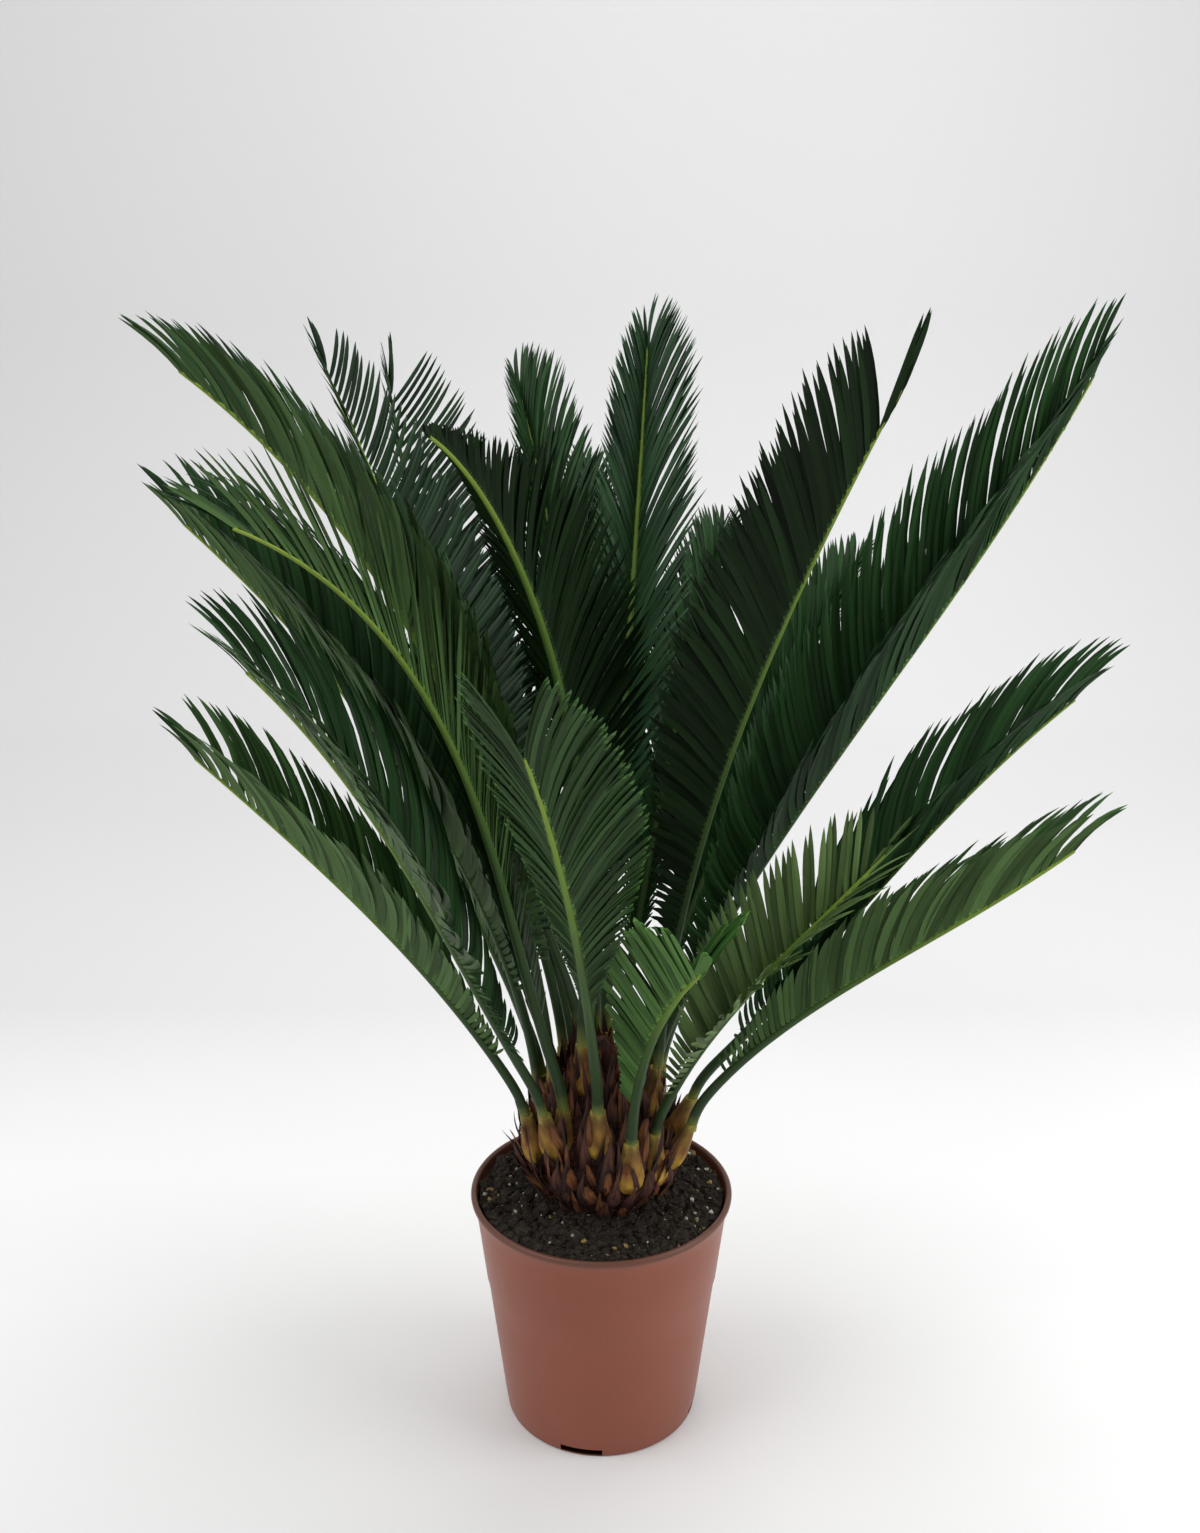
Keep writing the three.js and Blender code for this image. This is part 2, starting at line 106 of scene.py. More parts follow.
def relief(point: Sequence[float], scale: float, seed: float) -> float:
    """Return a smooth random height from -1 to 1 at a point.

    Args:
        point: The place in metres.
        scale: How many bumps fit in a metre.
        seed: Shifts the pattern, so that pieces differ.

    Returns:
        The height of the pattern.
    """
    return noise.fractal(Vector(point) * scale + Vector((seed, seed, seed)), 0.9, 2.1, 4)


def add_object(name: str, mesh: bpy.types.Mesh) -> bpy.types.Object:
    """Put a mesh in the scene as an object at the origin.

    Args:
        name: The object's name.
        mesh: The mesh.

    Returns:
        The object.
    """
    piece = bpy.data.objects.new(name, mesh)
    bpy.context.scene.collection.objects.link(piece)
    return piece


def finish_mesh(bm: bmesh.types.BMesh, name: str, sharp: float = 40.0) -> bpy.types.Object:
    """Turn a bmesh into a smooth-shaded object.

    Args:
        bm: The bmesh, which is freed.
        name: The object's name.
        sharp: Edges that turn by more degrees than this stay sharp.

    Returns:
        The new object.
    """
    mesh = bpy.data.meshes.new(name)
    bm.to_mesh(mesh)
    bm.free()
    mesh.shade_smooth()
    mesh.set_sharp_from_angle(angle=math.radians(sharp))
    return add_object(name, mesh)


def rolled_tube(bm: bmesh.types.BMesh, rings: np.ndarray) -> list[bmesh.types.BMVert]:
    """Roll a grid into a closed tube through rings of points and close both ends.

    Args:
        bm: The bmesh that the tube is added to.
        rings: Points as an array of stations by corners by 3, turning left round the way along.

    Returns:
        The tube's vertices.
    """
    stations, corners, _ = rings.shape
    uv_layer = bm.loops.layers.uv.get(UV_NAME) or bm.loops.layers.uv.new(UV_NAME)
    made = bmesh.ops.create_grid(
        bm, x_segments=corners, y_segments=stations - 1, size=1.0
    )["verts"]
    faces = {face for vert in made for face in vert.link_faces}
    for face in faces:
        for loop in face.loops:
            x, y, _ = loop.vert.co
            loop[uv_layer].uv = ((x + 1.0) / 2.0, (y + 1.0) / 2.0)
    for vert in made:
        corner = round((vert.co.x + 1.0) / 2.0 * corners) % corners
        station = round((vert.co.y + 1.0) / 2.0 * (stations - 1))
        vert.co = rings[station, corner]
    bmesh.ops.remove_doubles(bm, verts=made, dist=1e-7)
    left = [vert for vert in made if vert.is_valid]
    open_edges = list({edge for vert in left for edge in vert.link_edges if edge.is_boundary})
    bmesh.ops.holes_fill(bm, edges=open_edges, sides=corners + 1)
    bmesh.ops.recalc_face_normals(bm, faces=list({f for v in left for f in v.link_faces}))
    return left


def spun(profile: Sequence[tuple[float, float]], steps: int) -> bmesh.types.BMesh:
    """Spin a profile of radius and height pairs, which starts and ends on the axis.

    Args:
        profile: Radius and height pairs.
        steps: The number of faces round the axis.

    Returns:
        A closed bmesh with its faces outwards.
    """
    bm = bmesh.new()
    verts = [bm.verts.new((radius, 0.0, height)) for radius, height in profile]
    edges = [bm.edges.new(pair) for pair in zip(verts, verts[1:])]
    bmesh.ops.spin(
        bm,
        geom=verts + edges,
        cent=(0.0, 0.0, 0.0),
        axis=(0.0, 0.0, 1.0),
        angle=math.tau,
        steps=steps,
        use_merge=True,
    )
    bmesh.ops.remove_doubles(bm, verts=bm.verts, dist=1e-6)
    bmesh.ops.recalc_face_normals(bm, faces=bm.faces)
    return bm


def arc(centre: tuple[float, float], radius: float, start: float, end: float, count: int) -> list:
    """Return points of a round stretch of a profile, from one angle in degrees to another."""
    angles = np.radians(np.linspace(start, end, count))
    return [(centre[0] + radius * math.cos(a), centre[1] + radius * math.sin(a)) for a in angles]


# ------------------------------------------------------------------ shader building


class ShaderBench:
    """A material's node tree with short ways to add and join nodes."""

    def __init__(self, tree: bpy.types.NodeTree) -> None:
        """Keep the tree that nodes go into."""
        self.tree = tree

    def add(self, kind: str, **settings: object) -> bpy.types.Node:
        """Add a node.

        Args:
            kind: The node's type name.
            **settings: Properties to set on it.

        Returns:
            The node.
        """
        node = self.tree.nodes.new(kind)
        for key, value in settings.items():
            setattr(node, key, value)
        return node

    def join(self, source: bpy.types.NodeSocket, target: bpy.types.NodeSocket) -> None:
        """Join an output to an input."""
        self.tree.links.new(source, target)

    def ramp(
        self, source: bpy.types.NodeSocket, stops: Sequence[tuple[float, Colour]]
    ) -> bpy.types.NodeSocket:
        """Colour a value by a ramp.

        Args:
            source: The value.
            stops: Place and colour pairs from 0 to 1.

        Returns:
            The ramp's colour output.
        """
        node = self.add("ShaderNodeValToRGB")
        elements = node.color_ramp.elements
        while len(elements) < len(stops):
            elements.new(0.5)
        for element, (place, colour) in zip(elements, stops):
            element.position = place
            element.color = (*colour, 1.0)
        self.join(source, node.inputs["Fac"])
        return node.outputs["Color"]

    def blend(
        self, factor: bpy.types.NodeSocket, low: object, high: object
    ) -> bpy.types.NodeSocket:
        """Mix two colours, each a socket or a plain colour.

        Args:
            factor: 0 for the low colour and 1 for the high one.
            low: The first colour.
            high: The second colour.

        Returns:
            The mixed colour.
        """
        node = self.add("ShaderNodeMix", data_type="RGBA")
        self.join(factor, node.inputs[0])
        for value, place in ((low, 6), (high, 7)):
            if isinstance(value, bpy.types.NodeSocket):
                self.join(value, node.inputs[place])
            else:
                node.inputs[place].default_value = (*value, 1.0)
        return node.outputs[2]

    def remap(
        self, source: bpy.types.NodeSocket, span: tuple[float, float], to: tuple[float, float]
    ) -> bpy.types.NodeSocket:
        """Map a value from one span to another, held at its ends.

        Args:
            source: The value.
            span: The span that it comes from.
            to: The span that it goes to.

        Returns:
            The mapped value.
        """
        node = self.add("ShaderNodeMapRange")
        self.join(source, node.inputs["Value"])
        for key, value in zip(("From Min", "From Max", "To Min", "To Max"), (*span, *to)):
            node.inputs[key].default_value = value
        return node.outputs["Result"]

    def place(self) -> bpy.types.NodeSocket:
        """Return the place on the object, in metres."""
        return self.add("ShaderNodeTexCoord").outputs["Object"]

    def own_map(self) -> bpy.types.NodeSocket:
        """Return the place on the piece's own UV map."""
        return self.add("ShaderNodeUVMap", uv_map=UV_NAME).outputs["UV"]

    def split(self, vector: bpy.types.NodeSocket) -> bpy.types.bpy_prop_collection:
        """Split a vector.

        Args:
            vector: The vector.

        Returns:
            The outputs X, Y and Z.
        """
        node = self.add("ShaderNodeSeparateXYZ")
        self.join(vector, node.inputs["Vector"])
        return node.outputs

    def combine(self, **parts: bpy.types.NodeSocket) -> bpy.types.NodeSocket:
        """Make a vector.

        Args:
            parts: The values for X, Y and Z.

        Returns:
            The vector.
        """
        node = self.add("ShaderNodeCombineXYZ")
        for key, part in parts.items():
            self.join(part, node.inputs[key])
        return node.outputs["Vector"]

    def paint(self, colour: bpy.types.NodeSocket) -> None:
        """Give the surface its base colour."""
        self.join(colour, self.surface().inputs["Base Color"])

    def bump(self, height: bpy.types.NodeSocket, depth: float, strength: float) -> None:
        """Raise a surface's relief from a height.

        Args:
            height: The height, from 0 to 1.
            depth: The relief's depth in metres.
            strength: How strongly it shows.
        """
        node = self.add("ShaderNodeBump")
        node.inputs["Strength"].default_value = strength
        node.inputs["Distance"].default_value = depth
        self.join(height, node.inputs["Height"])
        self.join(node.outputs["Normal"], self.surface().inputs["Normal"])

    def surface(self) -> bpy.types.Node:
        """Return the tree's surface shader."""
        return self.tree.nodes["Principled BSDF"]


def new_material(name: str, roughness: float, specular: float = 0.5) -> tuple:
    """Start a material with its surface shader.

    Args:
        name: The material's name.
        roughness: The shader's roughness.
        specular: The shader's specular level.

    Returns:
        The material and its bench.
    """
    material = bpy.data.materials.new(name)
    material.use_nodes = True
    bench = ShaderBench(material.node_tree)
    bench.surface().inputs["Roughness"].default_value = roughness
    bench.surface().inputs["Specular IOR Level"].default_value = specular
    return material, bench


class SurfaceEffect(Enum):
    """Shared patterns, each a node group that is built once."""

    MOTTLE = "mottle"
    FIBRE = "fibre"


class EffectLibrary:
    """Builds each shared pattern once and places it in materials."""

    def __init__(self) -> None:
        """Start with no group built."""
        self.groups: dict[SurfaceEffect, bpy.types.NodeTree] = {}

    def place(
        self,
        bench: ShaderBench,
        effect: SurfaceEffect,
        vector: bpy.types.NodeSocket,
        **values: float,
    ) -> bpy.types.Node:
        """Place a pattern in a material.

        Args:
            bench: The material's bench.
            effect: Which pattern.
            vector: The coordinates that it reads.
            **values: Its other inputs, with spaces as underscores.

        Returns:
            The group node.
        """
        if effect not in self.groups:
            build = self._build_mottle if effect is SurfaceEffect.MOTTLE else self._build_fibre
            self.groups[effect] = build()
        node = bench.add("ShaderNodeGroup", node_tree=self.groups[effect])
        bench.join(vector, node.inputs["Vector"])
        for key, value in values.items():
            node.inputs[key.replace("_", " ")].default_value = value
        return node

    @staticmethod
    def _start(name: str, inputs: Sequence[tuple[str, float]]) -> tuple:
        """Start a group that takes a vector and some values and gives a pattern and a height.

        Args:
            name: The group's name.
            inputs: The name and first value of each value that it takes.

        Returns:
            The group, its bench, its input node and its output node.
        """
        tree = bpy.data.node_groups.new(name, "ShaderNodeTree")
        tree.interface.new_socket("Vector", in_out="INPUT", socket_type="NodeSocketVector")
        for key, value in inputs:
            socket = tree.interface.new_socket(key, in_out="INPUT", socket_type="NodeSocketFloat")
            socket.default_value = value
        for key in ("Pattern", "Height"):
            tree.interface.new_socket(key, in_out="OUTPUT", socket_type="NodeSocketFloat")
        bench = ShaderBench(tree)
        return tree, bench, bench.add("NodeGroupInput"), bench.add("NodeGroupOutput")

    def _build_mottle(self) -> bpy.types.NodeTree:
        """Build broad cloudy patches with fine grain over them.

        Returns:
            The node group.
        """
        tree, bench, given, out = self._start(
            "Mottle", (("Broad Scale", 20.0), ("Fine Scale", 400.0), ("Fine Share", 0.4))
        )
        layers = []
        for key, detail in (("Broad Scale", 3.0), ("Fine Scale", 2.0)):
            layer = bench.add("ShaderNodeTexNoise")
            layer.inputs["Detail"].default_value = detail
            bench.join(given.outputs["Vector"], layer.inputs["Vector"])
            bench.join(given.outputs[key], layer.inputs["Scale"])
            layers.append(layer.outputs["Fac"])
        both = bench.add("ShaderNodeMix", data_type="FLOAT")
        bench.join(given.outputs["Fine Share"], both.inputs[0])
        bench.join(layers[0], both.inputs[2])
        bench.join(layers[1], both.inputs[3])
        spread = bench.remap(both.outputs[0], (0.35, 0.65), (0.0, 1.0))
        bench.join(spread, out.inputs["Pattern"])
        bench.join(layers[1], out.inputs["Height"])
        return tree

    def _build_fibre(self) -> bpy.types.NodeTree:
        """Build fine lines that run along the vector's second axis.

        Returns:
            The node group.
        """
        tree, bench, given, out = self._start("Fibre", (("Across", 30.0), ("Along", 2.0)))
        across, along = given.outputs["Across"], given.outputs["Along"]
        stretch = bench.combine(X=across, Y=along, Z=along)
        scaled = bench.add("ShaderNodeVectorMath", operation="MULTIPLY")
        bench.join(given.outputs["Vector"], scaled.inputs[0])
        bench.join(stretch, scaled.inputs[1])
        lines = bench.add("ShaderNodeTexNoise")
        lines.inputs["Scale"].default_value = 1.0
        lines.inputs["Detail"].default_value = 3.0
        bench.join(scaled.outputs["Vector"], lines.inputs["Vector"])
        spread = bench.remap(lines.outputs["Fac"], (0.35, 0.65), (0.0, 1.0))
        bench.join(spread, out.inputs["Pattern"])
        bench.join(lines.outputs["Fac"], out.inputs["Height"])
        return tree


EFFECTS = EffectLibrary()


# ------------------------------------------------------------------ finishes


@dataclass(frozen=True)
class PotPlastic:
    """Satin moulded plastic in terracotta brown, faintly speckled, darker on the rim's lip, with
    painted shade in the notches of its foot.
    """

    wall: Colour = srgb(143, 77, 55)
    patch: Colour = srgb(133, 71, 50)
    # A darker brown over the rim's lip.
    rim_tone: Colour = srgb(100, 60, 46)
    # Painted shade: the near-black brown of the notches' inner faces, where little light reaches.
    notch_shade: Colour = srgb(34, 19, 15)
    roughness: float = 0.4
    rim_tone_from: tuple[float, float] = (0.1742, 0.1775)
    notch_shade_from: tuple[float, float] = (0.0692, 0.0702)
    notch_shade_to: tuple[float, float] = (0.0065, 0.0070)

    def build(self) -> bpy.types.Material:
        """Build the material.

        Returns:
            The material.
        """
        material, bench = new_material("pot_plastic", self.roughness, 0.4)
        place = bench.place()
        mottle = EFFECTS.place(
            bench, SurfaceEffect.MOTTLE, place, Broad_Scale=14.0, Fine_Scale=900.0, Fine_Share=0.5
        )
        wall = bench.blend(mottle.outputs["Pattern"], self.wall, self.patch)
        split = bench.split(place)
        # Darker brown on the rim, from the top of the lip up.
        above = bench.remap(split["Z"], self.rim_tone_from, (0.0, 1.0))
        rim_toned = bench.blend(above, wall, self.rim_tone)
        # Painted shade: faces that lie inside the foot's edge and low down, which are the faces of
        # the cut notches, are blended to a near-black brown.
        reach = bench.add("ShaderNodeVectorMath", operation="LENGTH")
        bench.join(bench.combine(X=split["X"], Y=split["Y"]), reach.inputs[0])
        both = bench.add("ShaderNodeMath", operation="MULTIPLY")
        within = bench.remap(reach.outputs["Value"], self.notch_shade_from, (1.0, 0.0))
        bench.join(within, both.inputs[0])
        bench.join(bench.remap(split["Z"], self.notch_shade_to, (1.0, 0.0)), both.inputs[1])
        bench.paint(bench.blend(both.outputs["Value"], rim_toned, self.notch_shade))
        bench.bump(mottle.outputs["Height"], 0.0002, 0.25)
        return material


@dataclass(frozen=True)
class GrainyFinish:
    """A rough, crumbly finish in two colours, for soil, crumbs and perlite."""

    name: str
    light: Colour
    dark: Colour
    roughness: float = 0.9
    broad: float = 60.0
    fine: float = 700.0
    depth: float = 0.001
    specular: float = 0.2

    def build(self) -> bpy.types.Material:
        """Build the material.

        Returns:
            The material.
        """
        material, bench = new_material(self.name, self.roughness, self.specular)
        scales = {"Broad_Scale": self.broad, "Fine_Scale": self.fine, "Fine_Share": 0.45}
        mottle = EFFECTS.place(bench, SurfaceEffect.MOTTLE, bench.place(), **scales)
        bench.paint(bench.blend(mottle.outputs["Pattern"], self.dark, self.light))
        bench.bump(mottle.outputs["Height"], self.depth, 0.7)
        return material


@dataclass(frozen=True)
class LengthwiseFinish:
    """A fibrous finish whose colour changes along a piece's own length."""

    name: str
    stops: tuple[tuple[float, Colour], ...]
    shade: Colour
    shade_share: float = 0.5
    roughness: float = 0.45
    across: float = 24.0
    along: float = 3.0
    depth: float = 0.0003
    specular: float = 0.4

    def build(self) -> bpy.types.Material:
        """Build the material.

        Returns:
            The material.
        """
        material, bench = new_material(self.name, self.roughness, self.specular)
        own = bench.own_map()
        colour = bench.ramp(bench.split(own)["Y"], self.stops)
        fibre = EFFECTS.place(
            bench, SurfaceEffect.FIBRE, own, Across=self.across, Along=self.along
        )
        share = bench.remap(fibre.outputs["Pattern"], (0.0, 1.0), (self.shade_share, 0.0))
        bench.paint(bench.blend(share, colour, self.shade))
        bench.bump(fibre.outputs["Height"], self.depth, 0.6)
        return material


class LeafTint(Enum):
    """How deep a frond's green is. Two tints hold light and shade: the shaded one is painted shade
    on back fronds, and the brightened grey-green one on the front right frond is painted light.
    """

    DEEP = "deep"
    FULL = "full"
    EVEN = "even"
    LIGHT = "light"
    FRONT = "front"
    FRESH = "fresh"
    PALE = "pale"
    # Painted light: brightened so that a frond the lamps leave dim looks lit.
    LIT_OLIVE = "lit_olive"
    SHADED = "shaded"


@dataclass(frozen=True)
class LeafGreens:
    """The plain greens of one tint: upper face, underside, the heel at the stalk and the tip. Most
    tips are lighter than the upper face, as painted light shining through the thin tips.
    """

    upper: Colour
    under: Colour
    heel: Colour
    tip: Colour


# Upper, under, heel and tip greens of each tint; the lighter tips are painted light shining through
# the leaflets.
GREENS = {
    tint: LeafGreens(*(srgb(*green) for green in greens))
    for tint, *greens in (
        (LeafTint.DEEP, (12, 28, 9), (17, 35, 13), (40, 60, 24), (16, 34, 12)),
        (LeafTint.FULL, (30, 57, 27), (60, 84, 45), (72, 100, 40), (32, 58, 28)),
        (LeafTint.EVEN, (30, 57, 27), (32, 56, 30), (72, 100, 40), (34, 60, 32)),
        (LeafTint.LIGHT, (52, 80, 42), (70, 94, 54), (80, 110, 44), (58, 90, 46)),
        (LeafTint.FRONT, (38, 62, 31), (43, 65, 34), (76, 106, 42), (58, 94, 42)),
        (LeafTint.FRESH, (54, 90, 40), (68, 100, 50), (92, 128, 50), (80, 124, 56)),
        (LeafTint.PALE, (32, 56, 33), (56, 80, 52), (84, 112, 46), (44, 70, 44)),
        # Painted light: the front right frond's greens, brightened to look lit.
        (LeafTint.LIT_OLIVE, (84, 106, 62), (88, 108, 66), (92, 120, 50), (76, 100, 56)),
        (LeafTint.SHADED, (20, 42, 21), (34, 56, 34), (60, 84, 36), (34, 58, 38)),
    )
}


@dataclass(frozen=True)
class LeafFinish:
    """A leathery leaf face: a plain green with a slight change from leaflet to leaflet."""

    name: str
    green: Colour
    roughness: float
    specular: float
    darkest: float = 0.6
    lightest: float = 1.6

    def build(self) -> bpy.types.Material:
        """Build the material.

        Returns:
            The material.
        """
        material, bench = new_material(self.name, self.roughness, self.specular)
        tint = bench.add("ShaderNodeAttribute", attribute_name="leaf_tint").outputs["Fac"]
        ends = [tuple(c * share for c in self.green) for share in (self.darkest, self.lightest)]
        bench.paint(bench.blend(tint, *ends))
        fibre = EFFECTS.place(bench, SurfaceEffect.FIBRE, bench.own_map(), Across=9.0, Along=2.0)
        bench.bump(fibre.outputs["Height"], 0.0003, 0.35)
        return material


@dataclass(frozen=True)
class BackdropPaper:
    """Seamless pale paper with painted light and shade: grey at the front, lightest by the pot,
    greyest behind it and a little lighter up the wall, a little greyer on its left and lighter on
    its right.
    """

    # Painted light and shade along the depth, standing in for the lamps' fall-off.
    greys_with_painted_light: tuple[tuple[float, float], ...] = (
        (-0.2, 0.79),
        (0.1, 0.88),
        (0.3, 0.87),
        (0.65, 0.71),
        (1.3, 0.725),
        (1.8, 0.78),
    )
    span: tuple[float, float] = (-0.4, 2.0)
    sides: tuple[float, float] = (-0.6, 0.6)
    # Painted shade on the left and painted light on the right.
    left: float = 0.95
    right: float = 1.04

    def build(self) -> bpy.types.Material:
        """Build the material.

        Returns:
            The material.
        """
        material, bench = new_material("backdrop_paper", 0.9, 0.1)
        split = bench.split(bench.place())
        back = bench.remap(split["Y"], self.span, (0.0, 1.0))
        low, high = self.span
        stops = [((y - low) / (high - low), (grey, grey, grey)) for y, grey in self.greys_with_painted_light]
        grey = bench.ramp(back, stops)
        across = bench.remap(split["X"], self.sides, (self.left, self.right))
        scaled = bench.add("ShaderNodeVectorMath", operation="SCALE")
        bench.join(grey, scaled.inputs[0])
        bench.join(across, scaled.inputs["Scale"])
        bench.paint(scaled.outputs["Vector"])
        return material


# ------------------------------------------------------------------ blades from one pattern


@dataclass(frozen=True)
class BladePattern:
    """One thin pointed blade that many leaflets or scales repeat.

    Its outline is a list of half-widths along its length, and its section has two edges, a
    crown above and a keel below, all in shares of the half-width.
    """

    places: tuple[float, ...]
    widths: tuple[float, ...]
    crown: float = 0.2
    keel: float = -0.03
    edge: float = -0.16

    def build(self) -> tuple[np.ndarray, list[list[int]], np.ndarray, np.ndarray]:
        """Build the blade in its own frame.

        Returns:
            Vertices as (place along, across, up), faces, a UV for each face corner, and a
            kind for each face: 0 upper, 1 under, 2 for the heel's stretch and 3 for the tip's.
        """
        section = ((-1.0, self.edge), (0.0, self.keel), (1.0, self.edge), (0.0, self.crown))
        rings = np.array(
            [
                [(place, width * across, width * up) for across, up in section]
                for place, width in zip(self.places, self.widths)
            ]
        )
        bm = bmesh.new()
        rolled_tube(bm, rings)
        bm.verts.index_update()
        uv_layer = bm.loops.layers.uv[UV_NAME]
        points = np.array([vert.co[:] for vert in bm.verts])
        faces = [[vert.index for vert in face.verts] for face in bm.faces]
        uvs = np.array([loop[uv_layer].uv[:] for face in bm.faces for loop in face.loops])
        heel, tip = self.places[1], self.places[-2]
        kinds = []
        for face in bm.faces:
            if max(vert.co.x for vert in face.verts) <= heel + 1e-6:
                kinds.append(2)
            elif min(vert.co.x for vert in face.verts) >= tip - 1e-6:
                kinds.append(3)
            else:
                kinds.append(0 if face.normal.z > 0 else 1)
        bm.free()
        return points, faces, uvs, np.array(kinds)


@dataclass
class BladeBed:
    """Many blades to be joined in one mesh: a root, a tip and a frame for each."""

    roots: np.ndarray
    tips: np.ndarray
    uppers: np.ndarray
    half_widths: np.ndarray
    bows: np.ndarray
    droops: np.ndarray
    tilts: np.ndarray
    twists: np.ndarray
    tints: np.ndarray

    def join(self, name: str, pattern: BladePattern) -> bpy.types.Object:
        """Lay the pattern on every root and tip and join all of them.

        Args:
            name: The object's name.
            pattern: The blade that is repeated.

        Returns:
            The joined object, with face kinds as material indices.
        """
        points, faces, uvs, kinds = pattern.build()
        chord = self.tips - self.roots
        along = unit(chord)
        upper = unit(self.uppers - along * np.sum(self.uppers * along, axis=1, keepdims=True))
        across = np.cross(upper, along)
        place = points[:, 0][None, :, None]
        turn = self.tilts[:, None] + self.twists[:, None] * points[None, :, 0]
        cos, sin = np.cos(turn)[:, :, None], np.sin(turn)[:, :, None]
        wide = across[:, None, :] * cos + upper[:, None, :] * sin
        high = upper[:, None, :] * cos - across[:, None, :] * sin
        half = self.half_widths[:, None, None]
        arch = 4.0 * place * (1.0 - place)
        placed = (
            self.roots[:, None, :]
            + chord[:, None, :] * place
            + self.bows[:, None, :] * arch
            + upper[:, None, :] * (self.droops[:, None, None] * arch)
            + wide * half * points[None, :, 1:2]
            + high * half * points[None, :, 2:3]
        )
        count, size = len(self.roots), len(points)
        starts = np.arange(count)[:, None] * size
        corners = np.concatenate([np.array(face) for face in faces])
        lengths = np.tile([len(face) for face in faces], count)
        mesh = bpy.data.meshes.new(name)
        mesh.vertices.add(count * size)
        mesh.vertices.foreach_set("co", placed.astype(np.float32).ravel())
        mesh.loops.add(len(corners) * count)
        mesh.loops.foreach_set("vertex_index", (starts + corners[None, :]).astype(np.int32).ravel())
        mesh.polygons.add(len(lengths))
        loop_starts = np.concatenate([[0], np.cumsum(lengths)[:-1]]).astype(np.int32)
        mesh.polygons.foreach_set("loop_start", loop_starts)
        mesh.polygons.foreach_set("material_index", np.tile(kinds, count).astype(np.int32))
        mesh.uv_layers.new(name=UV_NAME).data.foreach_set(
            "uv", np.tile(uvs, (count, 1)).astype(np.float32).ravel()
        )
        tint = mesh.attributes.new("leaf_tint", "FLOAT", "FACE")
        tint.data.foreach_set("value", np.repeat(self.tints, len(faces)).astype(np.float32))
        mesh.update(calc_edges=True)
        mesh.validate()
        mesh.shade_smooth()
        mesh.set_sharp_from_angle(angle=math.radians(34.0))
        return add_object(name, mesh)


# ------------------------------------------------------------------ pot


@dataclass
class Pot:
    """A round nursery pot with a rolled rim, a stacking band and notches in its foot."""

    height: float = 0.180
    rim_radius: float = 0.095
    foot_radius: float = 0.071
    wall: float = 0.0022
    floor: float = 0.008
    lip: float = 0.0043
    rim_drop: float = 0.0052
    band_top: float = 0.150
    band_foot: float = 0.112
    band_step: float = 0.0007
    notch_width: float = 0.031
    notch_height: float = 0.0062
    notch_depth: float = 0.012
    notch_sill: float = 0.0008
    notch_count: int = 4
    notch_heading: float = 258.0
    steps: int = 144
    sharp_angle: float = 35.0
    finish: PotPlastic = field(default_factory=PotPlastic)

    def wall_radius(self, height: float) -> float:
        """Return the plain tapering wall's outer radius at a height."""
        return mix(self.foot_radius, self.rim_radius - 0.003, height / self.height)

    def profile(self) -> list[tuple[float, float]]:
        """Draw the wall's section.

        Returns:
            Radii and heights, from the underside's centre round to the inside floor.
        """
        round_rim = self.lip / 2.0
        rim_centre = (self.rim_radius - round_rim, self.height - round_rim)
        points = [(0.0, 0.0)]
        points += arc((self.foot_radius - 0.002, 0.002), 0.002, -90.0, -8.0, 4)
        points += [(self.wall_radius(h), h) for h in (0.02, 0.05, 0.085, self.band_foot - 0.003)]
        for height in (self.band_foot + 0.001, self.band_top, self.band_top + 0.014):
            points += [(self.wall_radius(height) + self.band_step, height)]
        under = self.height - self.rim_drop
        points += [(self.wall_radius(under) + self.band_step, under - 0.0032)]
        points += arc((self.rim_radius - 0.0026, under + 0.0022), 0.0026, -70.0, 0.0, 6)
        points += arc(rim_centre, round_rim, 0.0, 180.0, 9)
        inside = self.rim_radius - self.lip
        points += [(inside - 0.0006, self.height - 0.006), (inside - 0.0016, self.band_top)]
        points += [(self.wall_radius(self.floor) - self.wall, self.floor), (0.0, self.floor)]
        return points

    def build(self) -> bpy.types.Object:
        """Build and dress the pot, with its notches cut.

        Returns:
            The pot.
        """
        pot = finish_mesh(spun(self.profile(), self.steps), "nursery_pot", self.sharp_angle)
        self._cut_notches(pot)
        pot.data.materials.append(self.finish.build())
        return pot

    def _cut_notches(self, pot: bpy.types.Object) -> None:
        """Cut the drainage notches out of the foot.

        Args:
            pot: The pot.
        """
        bm = bmesh.new()
        for k in range(self.notch_count):
            made = bmesh.ops.create_cube(bm, size=1.0)["verts"]
            rise = self.notch_height - self.notch_sill
            bmesh.ops.scale(bm, verts=made, vec=(self.notch_depth * 2.0, self.notch_width, rise))
            middle = (self.foot_radius, 0.0, self.notch_sill + rise / 2.0)
            bmesh.ops.translate(bm, verts=made, vec=middle)
            heading = math.radians(self.notch_heading + 360.0 * k / self.notch_count)
            turn = Matrix.Rotation(heading, 3, "Z")
            bmesh.ops.rotate(bm, verts=made, cent=(0.0, 0.0, 0.0), matrix=turn)
        cutter = finish_mesh(bm, "notch_cutter")
        cut = pot.modifiers.new("notches", "BOOLEAN")
        cut.operation = "DIFFERENCE"
        cut.solver = "EXACT"
        cut.object = cutter
        graph = bpy.context.evaluated_depsgraph_get()
        shaped = bpy.data.meshes.new_from_object(pot.evaluated_get(graph))
        pot.modifiers.clear()
        old = pot.data
        pot.data = shaped
        bpy.data.meshes.remove(old)
        bpy.data.objects.remove(cutter)
        pot.data.shade_smooth()
        pot.data.set_sharp_from_angle(angle=math.radians(self.sharp_angle))


# ------------------------------------------------------------------ soil


